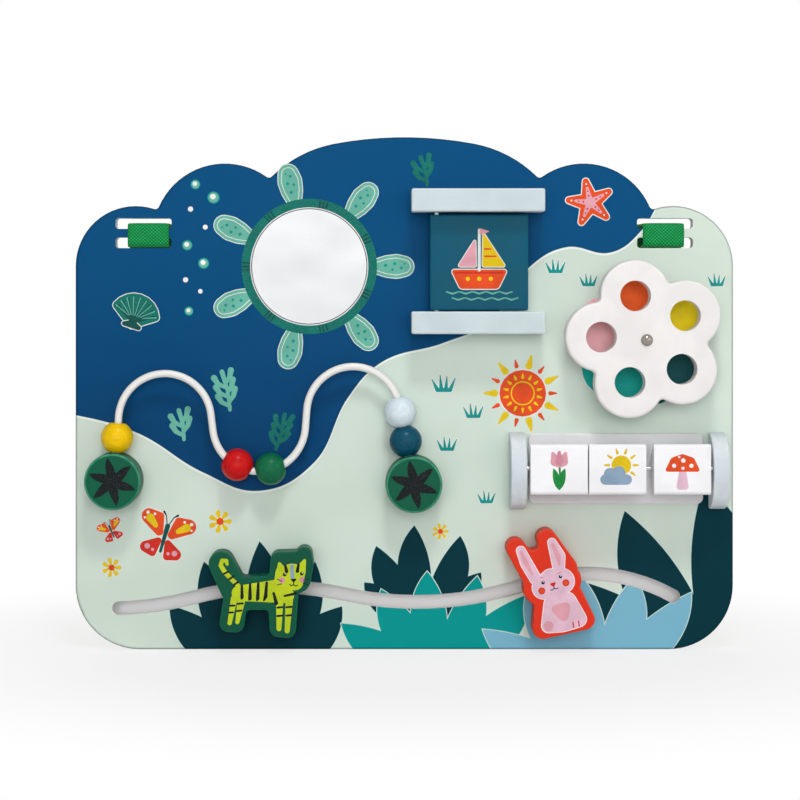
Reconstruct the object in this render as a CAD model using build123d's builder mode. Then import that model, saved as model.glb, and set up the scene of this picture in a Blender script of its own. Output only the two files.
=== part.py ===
from build123d import *
import os
from math import acos, asin, atan2, cos, degrees, hypot, radians, sin, sqrt

# A wooden busy board for small children: a wave-topped board that hangs on a cot rail by two
# webbing straps and carries a mirror, a bead maze, a door, a flower spinner, three turning
# picture blocks and two figures that slide along a wavy track.
#
# Millimetres. X is to the right and Z up, as seen from the front, and the front faces -Y.
# The origin is on the flat back face, at the middle of the board. A height is a distance
# in front of that back face, so a plane at height h is the plane y = -h.

# ---- board ----
BOARD_HALF_W = 200.0
BOARD_TOP = 155.8
BOARD_BOTTOM = -155.8
BACK_T = 3.0             # back panel
FRONT_T = 12.0           # front board
FRONT = BACK_T + FRONT_T  # height of the front face
EDGE_R = 2.0             # rounding of the front edge
CORNER_R = 39.0          # lower corners
CORNER_LOBE_R = 36.5
CORNER_LOBE_Z = 77.4
LOBE = (109.2, 96.0)
LOBE_R = 43.8
ARCH_R = 231.0
SHOULDER_R = 73.8
SHOULDER_ANGLE = 79.4    # direction in which the arch turns into its shoulder
CUSP_R = 2.5

# ---- back panel ----
PANEL_INSET = 6.0
PANEL_TOP = 66.0
PANEL_TOP_R = 8.0
# screws of the panel's right half, which its left half mirrors, and the one at its bottom middle
PANEL_SIDE_SCREWS = ((60, 59), (186, 58), (186, -8), (186, -96), (90, -144))
PANEL_MID_SCREW = (0, -146)

# ---- straps and their slots ----
STRAP_W = 25.0
STRAP_T = 1.5
STRAP_X = (-155.6, 157.5)
SLOT_X = 158.5
SLOT_Z = (91.5, 103.2)
SLOT_W = 34.0
SLOT_H = 6.5
SLOT_R = 2.0
LOOP_R = 15.0            # inside of the loop that goes round the cot rail
LOOP_Y = 21.0            # centre of that loop, behind the back face
LOOP_DROP = 13.6         # how far that centre hangs below the middle of the slots
STRAP_PLAY = (1.9, 2.2)   # slack of a strap under and over the wood that it goes round
STRAP_LIFT = 0.1         # between a strap and the front face
PATCH_T = 1.1            # hook patch, and loop patch
PATCH_ANGLE = 33.0       # half the angle that the patches cover
PATCH_W = 22.0

# ---- mirror ----
MIRROR = (-57.8, 77.1)
MIRROR_R = 34.8
MIRROR_T = 1.2
PAD_T = 0.5
PAD_INSET = 4.0
RECESS_DEPTH = 2.0
RECESS_GAP = 0.5         # round the mirror

# ---- bead maze ----
WIRE_R = 2.25
WIRE_H = FRONT + 11.0
BEND_R = 28.0
HUMP_1 = (-144.7, -15.7)
TROUGH = (-87.9, -18.8)
HUMP_2 = (-31.1, -11.5)
POST_LEFT = (-175.5, -52.4)
POST_RIGHT = (5.5, -54.1)
POST_R = 17.0
POST_T = 22.0
WIRE_END = 5.0           # distance of a wire end from its post's axis
BEAD_R = 9.8
BEAD_L = 17.6
BORE_R = 3.5
BEAD_GAP = 0.3
RED_ANGLE = 241.3        # places on the trough, counterclockwise from +X as seen from the front
GREEN_ANGLE = 284.7

# ---- door ----
SOFT_EDGE_R = 1.2        # rounding of small wooden pieces
RAIL_X = (4.0, 84.0)
RAIL_T = 24.0
TOP_RAIL_Z = (109.7, 123.6)
BOTTOM_RAIL_Z = (36.3, 49.8)
DOOR_X = (15.3, 74.5)
DOOR_Z = (50.5, 108.2)
DOOR_T = 10.0
DOOR_GAP = 4.0           # between the board and the back of the door
PIN_X = 19.4
PIN_R = 1.5
PIN_L = 17.0

# ---- flower spinner ----
FLOWER = (144.8, 32.7)
FLOWER_TURN = 32.3       # direction of the first petal
PETALS = 5
PETAL_R = 20.8
PETAL_RING = 28.0
WINDOW_R = 9.25
WINDOW_RING = 27.3
FLOWER_T = 16.0
FLOWER_LIFT = 8.0
WAIST_R = 3.0
SPACER_R = 9.0
BUSH_R = 3.0
BUSH_FLANGE_R = 6.0
BUSH_FLANGE_T = 1.0
AXLE_R = 2.0
AXLE_HEAD_R = 3.6
NUT_FLATS = 7.0
NUT_T = 3.2
NUT_POCKET_R = 4.6
NUT_SUNK = 0.6           # of the nut below the back of the front board
AXLE_HEAD_T = 2.4

# ---- picture blocks ----
BLOCK_ROD_Z = -44.4
BLOCK_ROD_LIFT = 20.5
BLOCK_ROD_R = 1.5
BLOCK_SIDE = 34.0
BLOCK_X = ((74.7, 108.9), (109.6, 143.8), (148.2, 182.4))
BLOCK_EDGE_R = 2.5
BRACKET_X = ((63.5, 73.3), (184.7, 194.5))
BRACKET_Z = -46.75
BRACKET_R = 23.25
BRACKET_H = 26.0
TRAY_X = (75.3, 181.4)
TRAY_Z = (-67.1, -24.2)
TRAY_T = 3.0
TRAY_CORNER_R = 4.0

# ---- track and figures ----
TRACK_W = 8.4
GROOVE_W = 24.0
GROOVE_DEPTH = 8.0
CREST_1 = (-78.3, -117.5)
CREST_1_R = 190.0
CREST_2 = (110.8, -109.6)
CREST_2_R = 108.0
TROUGH_R = 210.0
LEFT_R = 200.0
LEFT_TURN = 15.0         # turn of the first crest before the left stretch begins
TRACK_LEFT_X = -173.4
TRACK_RIGHT_X = 163.4
GLIDE_R = 11.5
GLIDE_T = 4.5
GLIDE_GAP = 0.3          # between a glide and the lip of the groove
PEG_R = 4.0
PEG_BITE = 6.0           # how far a peg goes into its figure, and its screw into the peg
PEG_SCREW_R = 2.0
PEG_SCREW_HEAD_R = 3.8
PEG_SCREW_HEAD_T = 2.0
FIGURE_T = 20.0
FIGURE_LIFT = 0.4
CAT_X = -84.0
RABBIT_X = 89.0

# ---- screws ----
SCREW_R = 1.75
PANEL_SCREW_L = 10.0
SCREW_HEAD_R = 3.4
CROSS = (3.6, 0.9, 1.1)  # length, width and depth of each slot of a screw's cross
SCREW_TIP = 2.0
CLEARANCE = 0.15
TURNING_FIT = 0.08       # radial clearance of what turns on a pin, rod or screw
END_PLAY = 0.2

os.makedirs("parts", exist_ok=True)


def save(part, name):
    """Label a finished piece and write it as its own file."""
    part.label = name
    export_step(part, f"parts/{name}.step")


def at(height):
    """Plane parallel to the board at this height; its x is right and its y is up."""
    return Plane.XZ.offset(height)


def space(point, height):
    """Place in the model of a point (x, z) of the front view at a height."""
    return (point[0], -height, point[1])


def polar(centre, radius, angle):
    """Point of the front view at this distance and angle from a centre."""
    return (centre[0] + radius * cos(radians(angle)), centre[1] + radius * sin(radians(angle)))


def angle_to(start, end):
    """Direction from one point to another, counterclockwise from +X."""
    return degrees(atan2(end[1] - start[1], end[0] - start[0]))


def distance(start, end):
    return hypot(end[0] - start[0], end[1] - start[1])


def upper_crossing(c1, r1, c2, r2):
    """Upper one of the two points where two circles cross."""
    gap = distance(c1, c2)
    along = (r1 ** 2 - r2 ** 2 + gap ** 2) / (2 * gap)
    across = sqrt(r1 ** 2 - along ** 2)
    direction = angle_to(c1, c2)
    foot = polar(c1, along, direction)
    return max((polar(foot, across, direction + side) for side in (90, -90)), key=lambda point: point[1])


def arc(centre, radius, start, end):
    """Arc about a centre from one angle to another."""
    return CenterArc(centre, radius, start, end - start)


def wrapped(*circles):
    """Face that wraps circles, each given as x, y, radius, as a rubber band would."""
    with BuildSketch(mode=Mode.PRIVATE) as wrap:
        for x, y, radius in circles:
            with Locations((x, y)):
                Circle(radius)
        make_hull(wrap.sketch.edges())
    return wrap.sketch


# ---- board outline ----
LOBE_CORNER = (BOARD_HALF_W - CORNER_LOBE_R, CORNER_LOBE_Z)
LOW_CORNER = (BOARD_HALF_W - CORNER_R, BOARD_BOTTOM + CORNER_R)
ARCH = (0, BOARD_TOP - ARCH_R)
SHOULDER = polar(ARCH, ARCH_R - SHOULDER_R, SHOULDER_ANGLE)
OUTER_CUSP = upper_crossing(LOBE_CORNER, CORNER_LOBE_R, LOBE, LOBE_R)
INNER_CUSP = upper_crossing(LOBE, LOBE_R, SHOULDER, SHOULDER_R)


def board_face():
    """Face of the board's outline: three waves each side of a low arch."""
    with BuildSketch(mode=Mode.PRIVATE) as face:
        with BuildLine():
            arc(ARCH, ARCH_R, 90, SHOULDER_ANGLE)
            arc(SHOULDER, SHOULDER_R, SHOULDER_ANGLE, angle_to(SHOULDER, INNER_CUSP))
            arc(LOBE, LOBE_R, angle_to(LOBE, INNER_CUSP), angle_to(LOBE, OUTER_CUSP))
            arc(LOBE_CORNER, CORNER_LOBE_R, angle_to(LOBE_CORNER, OUTER_CUSP), 0)
            Line((BOARD_HALF_W, CORNER_LOBE_Z), (BOARD_HALF_W, LOW_CORNER[1]))
            arc(LOW_CORNER, CORNER_R, 0, -90)
            Line((LOW_CORNER[0], BOARD_BOTTOM), (0, BOARD_BOTTOM))
            mirror(about=Plane.YZ)
        make_face()
        cusps = [(side * x, z) for side in (-1, 1) for x, z in (OUTER_CUSP, INNER_CUSP)]
        fillet([face.vertices().sort_by_distance((x, z, 0))[0] for x, z in cusps], CUSP_R)
    return face.sketch


# ---- track ----
CREST_1_C = (CREST_1[0], CREST_1[1] - CREST_1_R)
CREST_2_C = (CREST_2[0], CREST_2[1] - CREST_2_R)
TROUGH_C = upper_crossing(CREST_1_C, CREST_1_R + TROUGH_R, CREST_2_C, CREST_2_R + TROUGH_R)
LEFT_C = polar(CREST_1_C, CREST_1_R + LEFT_R, 90 + LEFT_TURN)
LEFT_END = 270 - degrees(asin((LEFT_C[0] - TRACK_LEFT_X) / LEFT_R))
RIGHT_END = degrees(acos((TRACK_RIGHT_X - CREST_2_C[0]) / CREST_2_R))
# centre, radius, start angle and end angle of each stretch, from left to right
TRACK_ARCS = (
    (LEFT_C, LEFT_R, LEFT_END, 270 + LEFT_TURN),
    (CREST_1_C, CREST_1_R, 90 + LEFT_TURN, angle_to(CREST_1_C, TROUGH_C)),
    (TROUGH_C, TROUGH_R, angle_to(TROUGH_C, CREST_1_C), angle_to(TROUGH_C, CREST_2_C)),
    (CREST_2_C, CREST_2_R, angle_to(CREST_2_C, TROUGH_C), RIGHT_END),
)


def track_face(width):
    """Face of this width along the track, with round ends."""
    half = width / 2
    left_centre, left_radius, left_angle, _ = TRACK_ARCS[0]
    right_centre, right_radius, _, right_angle = TRACK_ARCS[-1]
    with BuildSketch(mode=Mode.PRIVATE) as face:
        with BuildLine():
            for centre, radius, start, end in TRACK_ARCS:
                arc(centre, radius + half, start, end)
                arc(centre, radius - half, start, end)
            arc(polar(left_centre, left_radius, left_angle), half, left_angle, left_angle - 180)
            arc(polar(right_centre, right_radius, right_angle), half, right_angle, right_angle - 180)
        make_face()
    return face.sketch


def on_track(track_arc, x):
    """Point of the track at this x, on one of its crests."""
    centre, radius = track_arc[0], track_arc[1]
    return (x, centre[1] + sqrt(radius ** 2 - (x - centre[0]) ** 2))


CAT = on_track(TRACK_ARCS[1], CAT_X)
RABBIT = on_track(TRACK_ARCS[3], RABBIT_X)

# ---- screws from behind ----
PANEL_SCREWS = [PANEL_MID_SCREW] + [(side * x, z) for side in (-1, 1) for x, z in PANEL_SIDE_SCREWS]
POST_SCREWS = [POST_LEFT, POST_RIGHT]
RAIL_SCREWS = [(x, (z[0] + z[1]) / 2) for z in (TOP_RAIL_Z, BOTTOM_RAIL_Z) for x in (34, 70)]
BRACKET_SCREWS = [((x[0] + x[1]) / 2, BRACKET_Z + dz) for x in BRACKET_X for dz in (-13, 15)]
SCREW_BITE = 8.0         # how far these screws go into the piece that they hold


def screw_holes(points, head_height, depth):
    """Shape of countersunk holes drilled from behind, at points of the front view."""
    with BuildPart(mode=Mode.PRIVATE) as holes:
        with BuildSketch(at(head_height)):
            with Locations(*points):
                Circle(SCREW_HEAD_R + CLEARANCE)
        extrude(amount=SCREW_HEAD_R - SCREW_R, taper=45)
        with BuildSketch(at(head_height)):
            with Locations(*points):
                Circle(SCREW_R + CLEARANCE)
        extrude(amount=depth)
    return holes.part


def screws(points, head_height, length):
    """Countersunk cross-head screws driven from behind, at points of the front view."""
    taper_h = SCREW_HEAD_R - SCREW_R
    with BuildPart() as group:
        with BuildSketch(at(head_height)):
            with Locations(*points):
                Circle(SCREW_HEAD_R)
        extrude(amount=taper_h, taper=45)
        with BuildSketch(at(head_height)):
            with Locations(*points):
                Circle(SCREW_R)
        extrude(amount=length - SCREW_TIP)
        with BuildSketch(at(head_height + length - SCREW_TIP)):
            with Locations(*points):
                Circle(SCREW_R)
        extrude(amount=SCREW_TIP, taper=30)
        with BuildSketch(at(head_height)):
            with Locations(*points):
                Rectangle(CROSS[0], CROSS[1], rotation=45)
                Rectangle(CROSS[1], CROSS[0], rotation=45)
        extrude(amount=CROSS[2], mode=Mode.SUBTRACT)
    return group.part


# ---- front board ----
with BuildPart() as front_board:
    with BuildSketch(at(BACK_T)):
        add(board_face())
    extrude(amount=FRONT_T)
    fillet(front_board.faces().sort_by(Axis.Y)[0].outer_wire().edges(), EDGE_R)
    with BuildSketch(at(BACK_T)):
        with Locations(*[(side * SLOT_X, z) for side in (-1, 1) for z in SLOT_Z]):
            RectangleRounded(SLOT_W, SLOT_H, SLOT_R)
        with Locations(FLOWER):
            Circle(AXLE_R + CLEARANCE)
    extrude(amount=FRONT_T, mode=Mode.SUBTRACT)
    with BuildSketch(at(BACK_T)):
        add(track_face(GROOVE_W))
    extrude(amount=GROOVE_DEPTH, mode=Mode.SUBTRACT)
    with BuildSketch(at(BACK_T + GROOVE_DEPTH)):
        add(track_face(TRACK_W))
    extrude(amount=FRONT_T - GROOVE_DEPTH, mode=Mode.SUBTRACT)
    with BuildSketch(at(FRONT - RECESS_DEPTH)):
        with Locations(MIRROR):
            Circle(MIRROR_R + RECESS_GAP)
    extrude(amount=RECESS_DEPTH, mode=Mode.SUBTRACT)
    with BuildSketch(at(BACK_T)):
        with Locations(FLOWER):
            Circle(NUT_POCKET_R)
    extrude(amount=NUT_T + NUT_SUNK, mode=Mode.SUBTRACT)
    with BuildSketch(at(BACK_T)):
        with Locations(*PANEL_SCREWS):
            Circle(SCREW_R)
    extrude(amount=PANEL_SCREW_L - BACK_T, mode=Mode.SUBTRACT)
    add(screw_holes(POST_SCREWS + RAIL_SCREWS + BRACKET_SCREWS, BACK_T, FRONT_T), mode=Mode.SUBTRACT)
save(front_board.part, "front_board")


# ---- back panel ----
PANEL_BOTTOM = BOARD_BOTTOM + PANEL_INSET
with BuildPart() as back_board:
    with BuildSketch(at(0)) as panel:
        with Locations((0, (PANEL_TOP + PANEL_BOTTOM) / 2)):
            Rectangle(2 * (BOARD_HALF_W - PANEL_INSET), PANEL_TOP - PANEL_BOTTOM)
        fillet(panel.vertices().group_by(Axis.Y)[0], CORNER_R - PANEL_INSET)
        fillet(panel.vertices().group_by(Axis.Y)[-1], PANEL_TOP_R)
    extrude(amount=BACK_T)
    add(screw_holes(PANEL_SCREWS, 0, BACK_T), mode=Mode.SUBTRACT)
save(back_board.part, "back_board")
save(screws(PANEL_SCREWS, 0, PANEL_SCREW_L), "back_board_screws")
save(screws(POST_SCREWS, BACK_T, FRONT_T + SCREW_BITE), "post_screws")
save(screws(RAIL_SCREWS, BACK_T, FRONT_T + SCREW_BITE), "door_rail_screws")
save(screws(BRACKET_SCREWS, BACK_T, FRONT_T + SCREW_BITE), "bracket_screws")


def disc(centre, radius, height, thickness):
    """Plain disc parallel to the board, or a cutter of that shape."""
    with BuildPart(mode=Mode.PRIVATE) as plate:
        with BuildSketch(at(height)):
            with Locations(centre):
                Circle(radius)
        extrude(amount=thickness)
    return plate.part


def pilot_holes(points):
    """Holes for the screws that come through the front board."""
    with BuildPart(mode=Mode.PRIVATE) as holes:
        with BuildSketch(at(FRONT)):
            with Locations(*points):
                Circle(SCREW_R)
        extrude(amount=SCREW_BITE)
    return holes.part


# ---- mirror ----
save(disc(MIRROR, MIRROR_R - PAD_INSET, FRONT - RECESS_DEPTH, PAD_T), "mirror_pad")
save(disc(MIRROR, MIRROR_R, FRONT - RECESS_DEPTH + PAD_T, MIRROR_T), "mirror")

# ---- bead maze ----
LEFT_RUN = angle_to(POST_LEFT, HUMP_1) + degrees(asin(BEND_R / distance(POST_LEFT, HUMP_1)))
RIGHT_RUN = angle_to(POST_RIGHT, HUMP_2) - degrees(asin(BEND_R / distance(POST_RIGHT, HUMP_2)))
FALL = angle_to(HUMP_1, TROUGH) + degrees(acos(2 * BEND_R / distance(HUMP_1, TROUGH)))
RISE = angle_to(TROUGH, HUMP_2) - degrees(acos(2 * BEND_R / distance(TROUGH, HUMP_2)))
WIRE_START = polar(POST_LEFT, WIRE_END, LEFT_RUN)
WIRE_STOP = polar(POST_RIGHT, WIRE_END, RIGHT_RUN)


def direction(angle):
    """Unit vector of the front view as a vector of the model."""
    return (cos(radians(angle)), 0, sin(radians(angle)))


with BuildPart() as bead_wire:
    with BuildLine(at(WIRE_H)):
        Line(WIRE_START, polar(HUMP_1, BEND_R, LEFT_RUN + 90))
        arc(HUMP_1, BEND_R, LEFT_RUN + 90, FALL)
        Line(polar(HUMP_1, BEND_R, FALL), polar(TROUGH, BEND_R, FALL + 180))
        arc(TROUGH, BEND_R, FALL + 180, RISE + 360)
        Line(polar(TROUGH, BEND_R, RISE), polar(HUMP_2, BEND_R, RISE + 180))
        arc(HUMP_2, BEND_R, RISE + 180, RIGHT_RUN - 90)
        Line(polar(HUMP_2, BEND_R, RIGHT_RUN - 90), WIRE_STOP)
    with BuildSketch(Plane(origin=space(WIRE_START, WIRE_H), z_dir=direction(LEFT_RUN))):
        Circle(WIRE_R)
    sweep()
save(bead_wire.part, "bead_wire")


def wire_post(centre, wire_end, run):
    """Round post that holds one end of the wire in a hole in its side."""
    with BuildPart() as post:
        with BuildSketch(at(FRONT)):
            with Locations(centre):
                Circle(POST_R)
        extrude(amount=POST_T)
        fillet(post.edges().sort_by(Axis.Y)[0], EDGE_R)
        with BuildSketch(Plane(origin=space(wire_end, WIRE_H), z_dir=direction(run))):
            Circle(WIRE_R)
        extrude(amount=POST_R, mode=Mode.SUBTRACT)
        add(pilot_holes([centre]), mode=Mode.SUBTRACT)
    return post.part


save(wire_post(POST_LEFT, WIRE_START, LEFT_RUN), "wire_post_left")
save(wire_post(POST_RIGHT, WIRE_STOP, RIGHT_RUN), "wire_post_right")


def bead(centre, angle):
    """Round bead, flat at the ends of its bore, which runs in this direction of the front view."""
    with BuildPart(Plane(origin=space(centre, WIRE_H), z_dir=direction(angle))) as ball:
        Sphere(BEAD_R)
        Cylinder(BEAD_R, BEAD_L, mode=Mode.INTERSECT)
        Cylinder(BORE_R, BEAD_L, mode=Mode.SUBTRACT)
    return ball.part


# a straight bore on a bent wire: the bead sits inside the bend by half the bow of the wire
BOW = BEND_R - sqrt(BEND_R ** 2 - (BEAD_L / 2) ** 2)
BEAD_PATH_R = BEND_R - BOW / 2
FIRST_BEAD = POST_R + BEAD_GAP + BEAD_L / 2
SECOND_BEAD = FIRST_BEAD + BEAD_GAP + BEAD_L
save(bead(polar(POST_LEFT, FIRST_BEAD, LEFT_RUN), LEFT_RUN), "bead_yellow")
save(bead(polar(TROUGH, BEAD_PATH_R, RED_ANGLE), RED_ANGLE + 90), "bead_red")
save(bead(polar(TROUGH, BEAD_PATH_R, GREEN_ANGLE), GREEN_ANGLE + 90), "bead_green")
save(bead(polar(POST_RIGHT, FIRST_BEAD, RIGHT_RUN), RIGHT_RUN), "bead_teal")
save(bead(polar(POST_RIGHT, SECOND_BEAD, RIGHT_RUN), RIGHT_RUN), "bead_white")

# ---- door ----
DOOR_H = FRONT + DOOR_GAP
PIN_H = DOOR_H + DOOR_T / 2
# lowest and highest point of each pin
TOP_PIN = ((DOOR_Z[1] + TOP_RAIL_Z[0] - PIN_L) / 2, (DOOR_Z[1] + TOP_RAIL_Z[0] + PIN_L) / 2)
BOTTOM_PIN = ((BOTTOM_RAIL_Z[1] + DOOR_Z[0] - PIN_L) / 2, (BOTTOM_RAIL_Z[1] + DOOR_Z[0] + PIN_L) / 2)


def slab(x, z, height, thickness):
    """Soft-edged rectangular piece between two x and two z."""
    with BuildPart(mode=Mode.PRIVATE) as piece:
        with BuildSketch(at(height)):
            with Locations(((x[0] + x[1]) / 2, (z[0] + z[1]) / 2)):
                Rectangle(x[1] - x[0], z[1] - z[0])
        extrude(amount=thickness)
        fillet(piece.edges(), SOFT_EDGE_R)
    return piece.part


def upright_pin(z, radius):
    """Pin on the door's hinge line between two z, or a cutter of that shape."""
    with BuildPart(mode=Mode.PRIVATE) as pin:
        with BuildSketch(Plane.XY.offset(z[0])):
            with Locations((PIN_X, -PIN_H)):
                Circle(radius)
        extrude(amount=z[1] - z[0])
    return pin.part


for name, rail_z, pin in (("top", TOP_RAIL_Z, TOP_PIN), ("bottom", BOTTOM_RAIL_Z, BOTTOM_PIN)):
    rail_screws = [point for point in RAIL_SCREWS if rail_z[0] < point[1] < rail_z[1]]
    with BuildPart() as door_rail:
        add(slab(RAIL_X, rail_z, FRONT, RAIL_T))
        add(pilot_holes(rail_screws), mode=Mode.SUBTRACT)
        add(upright_pin(pin, PIN_R), mode=Mode.SUBTRACT)
    save(door_rail.part, f"door_rail_{name}")

with BuildPart() as door_pins:
    add(upright_pin(TOP_PIN, PIN_R))
    add(upright_pin(BOTTOM_PIN, PIN_R))
save(door_pins.part, "door_pins")

with BuildPart() as door_panel:
    add(slab(DOOR_X, DOOR_Z, DOOR_H, DOOR_T))
    for low, high in (TOP_PIN, BOTTOM_PIN):
        add(upright_pin((low - END_PLAY, high + END_PLAY), PIN_R + TURNING_FIT), mode=Mode.SUBTRACT)
save(door_panel.part, "door_panel")

# ---- flower spinner ----
FLOWER_H = FRONT + FLOWER_LIFT
FLOWER_AXIS = Axis(space(FLOWER, 0), (0, -1, 0))
with BuildPart() as flower_spinner:
    with BuildSketch(at(FLOWER_H)) as petals:
        with Locations(FLOWER):
            with PolarLocations(PETAL_RING, PETALS, start_angle=FLOWER_TURN):
                Circle(PETAL_R)
            Circle(PETAL_R)
        fillet(petals.vertices(), WAIST_R)
    extrude(amount=FLOWER_T)
    fillet(flower_spinner.edges().filter_by(Axis.Y, reverse=True), EDGE_R)
    with BuildSketch(at(FLOWER_H)):
        with Locations(FLOWER):
            with PolarLocations(WINDOW_RING, PETALS, start_angle=FLOWER_TURN):
                Circle(WINDOW_R)
    extrude(amount=FLOWER_T, mode=Mode.SUBTRACT)
    add(disc(FLOWER, BUSH_R, FLOWER_H, FLOWER_T), mode=Mode.SUBTRACT)
    add(disc(FLOWER, BUSH_FLANGE_R, FLOWER_H, BUSH_FLANGE_T), mode=Mode.SUBTRACT)
save(flower_spinner.part, "flower_spinner")

with BuildPart() as flower_bushing:
    add(disc(FLOWER, BUSH_FLANGE_R, FLOWER_H, BUSH_FLANGE_T))
    add(disc(FLOWER, BUSH_R, FLOWER_H, FLOWER_T))
    add(disc(FLOWER, AXLE_R + TURNING_FIT, FLOWER_H, FLOWER_T), mode=Mode.SUBTRACT)
save(flower_bushing.part, "flower_bushing")

with BuildPart() as flower_spacer:
    add(disc(FLOWER, SPACER_R, FRONT, FLOWER_LIFT - END_PLAY))
    add(disc(FLOWER, AXLE_R + CLEARANCE, FRONT, FLOWER_LIFT), mode=Mode.SUBTRACT)
save(flower_spacer.part, "flower_spacer")

AXLE_HEAD_H = FLOWER_H + FLOWER_T + END_PLAY
DOME_R = (AXLE_HEAD_R ** 2 + AXLE_HEAD_T ** 2) / (2 * AXLE_HEAD_T)
with BuildPart() as flower_screw:
    # plane through the axle: its x is the radius and its y the height
    with BuildSketch(Plane(origin=space(FLOWER, 0), x_dir=(1, 0, 0), z_dir=(0, 0, -1))):
        with BuildLine():
            dome_centre = (0, AXLE_HEAD_H + AXLE_HEAD_T - DOME_R)
            arc(dome_centre, DOME_R, angle_to(dome_centre, (AXLE_HEAD_R, AXLE_HEAD_H)), 90)
            Polyline((AXLE_HEAD_R, AXLE_HEAD_H), (AXLE_R, AXLE_HEAD_H), (AXLE_R, BACK_T), (0, BACK_T),
                     (0, AXLE_HEAD_H + AXLE_HEAD_T))
        make_face()
    revolve(axis=FLOWER_AXIS)
save(flower_screw.part, "flower_screw")

NUT_H = BACK_T + NUT_SUNK
with BuildPart() as flower_nut:
    with BuildSketch(at(NUT_H)):
        with Locations(FLOWER):
            RegularPolygon(NUT_FLATS / 2, 6, major_radius=False)
            Circle(AXLE_R, mode=Mode.SUBTRACT)
    extrude(amount=NUT_T)
save(flower_nut.part, "flower_nut")

# ---- picture blocks ----
# across the rod, a sketch has x along Y and y along Z
ROD_CENTRE = (-FRONT - BLOCK_ROD_LIFT, BLOCK_ROD_Z)
ROD_BITE = 7.0
ROD_X = (BRACKET_X[0][1] - ROD_BITE, BRACKET_X[1][0] + ROD_BITE)


def rod(x, radius):
    """Round bar on the blocks' axis between two x, or a cutter of that shape."""
    with BuildPart(mode=Mode.PRIVATE) as bar:
        with BuildSketch(Plane.YZ.offset(x[0])):
            with Locations(ROD_CENTRE):
                Circle(radius)
        extrude(amount=x[1] - x[0])
    return bar.part


save(rod(ROD_X, BLOCK_ROD_R), "block_rod")

for name, block_x in zip(("left", "middle", "right"), BLOCK_X):
    with BuildPart() as block:
        with BuildSketch(Plane.YZ.offset(block_x[0])) as triangle:
            with Locations(ROD_CENTRE):
                RegularPolygon(BLOCK_SIDE / sqrt(3), 3)
            fillet(triangle.vertices(), BLOCK_EDGE_R)
        extrude(amount=block_x[1] - block_x[0])
        fillet(block.faces().filter_by(Axis.X).edges(), SOFT_EDGE_R / 2)
        add(rod(block_x, BLOCK_ROD_R + TURNING_FIT), mode=Mode.SUBTRACT)
    save(block.part, f"picture_block_{name}")

ARCH_FOOT = -FRONT - (BRACKET_H - BRACKET_R)
BRACKET_TOP = BRACKET_Z + BRACKET_R
BRACKET_BOTTOM = BRACKET_Z - BRACKET_R
for name, bracket_x in zip(("left", "right"), BRACKET_X):
    bracket_screws = [point for point in BRACKET_SCREWS if bracket_x[0] < point[0] < bracket_x[1]]
    with BuildPart() as bracket:
        with BuildSketch(Plane.YZ.offset(bracket_x[0])):
            with BuildLine():
                arc((ARCH_FOOT, BRACKET_Z), BRACKET_R, 90, 270)
                Polyline((ARCH_FOOT, BRACKET_TOP), (-FRONT, BRACKET_TOP), (-FRONT, BRACKET_BOTTOM),
                         (ARCH_FOOT, BRACKET_BOTTOM))
            make_face()
        extrude(amount=bracket_x[1] - bracket_x[0])
        fillet(bracket.faces().filter_by(Axis.X).edges(), SOFT_EDGE_R)
        add(pilot_holes(bracket_screws), mode=Mode.SUBTRACT)
        add(rod(ROD_X, BLOCK_ROD_R), mode=Mode.SUBTRACT)
    save(bracket.part, f"block_bracket_{name}")

with BuildPart() as block_tray:
    with BuildSketch(at(FRONT)):
        with Locations(((TRAY_X[0] + TRAY_X[1]) / 2, (TRAY_Z[0] + TRAY_Z[1]) / 2)):
            RectangleRounded(TRAY_X[1] - TRAY_X[0], TRAY_Z[1] - TRAY_Z[0], TRAY_CORNER_R)
    extrude(amount=TRAY_T)
    fillet(block_tray.faces().sort_by(Axis.Y)[0].edges(), SOFT_EDGE_R)
save(block_tray.part, "block_tray")

# ---- figures on the track ----
GLIDE_H = BACK_T + GROOVE_DEPTH - GLIDE_GAP - GLIDE_T
PEG_H = GLIDE_H + GLIDE_T + END_PLAY
FIGURE_H = FRONT + FIGURE_LIFT
CAT_TILT = -6.0
RABBIT_TILT = 15.0
# each part of a figure's outline is wrapped round circles: x, y and radius, upright, from the peg
CAT_SHAPE = (
    ((-27.9, 13.0, 7.5), (-18.5, -1.7, 8.0)),
    ((-14.9, -3.8, 9.7), (8.2, -0.3, 10.5)),
    ((6.2, 18.9, 4.9), (15.5, 19.8, 5.2), (21.6, 17.5, 5.9), (11.6, 8.8, 10.0), (17.8, 9.1, 9.1)),
    ((21.2, 23.5, 4.9), (21.6, 17.5, 5.9)),
    ((-17.0, -6.8, 7.3), (-19.8, -21.9, 5.3), (-15.6, -21.4, 5.6)),
    ((11.1, -4.0, 9.2), (10.4, -21.8, 5.3), (15.7, -21.7, 5.3)),
)
RABBIT_SHAPE = (
    ((-16.4, 24.2, 6.0), (-9.8, 3.2, 7.5)),
    ((2.8, 24.9, 6.1), (8.4, 5.2, 7.9)),
    ((-9.8, 16.7, 4.5), (-2.6, 15.8, 4.7), (-7.1, 5.3, 6.7), (2.6, 8.2, 6.7)),
    ((-9.2, -2.5, 9.7), (7.1, -1.5, 9.7)),
    ((-5.8, -10.3, 8.0), (6.4, -13.0, 9.2), (-13.1, -25.9, 6.5), (12.3, -27.4, 6.1)),
)
HOLLOW_R = 2.5           # rounding of a figure's inner corners


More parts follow.
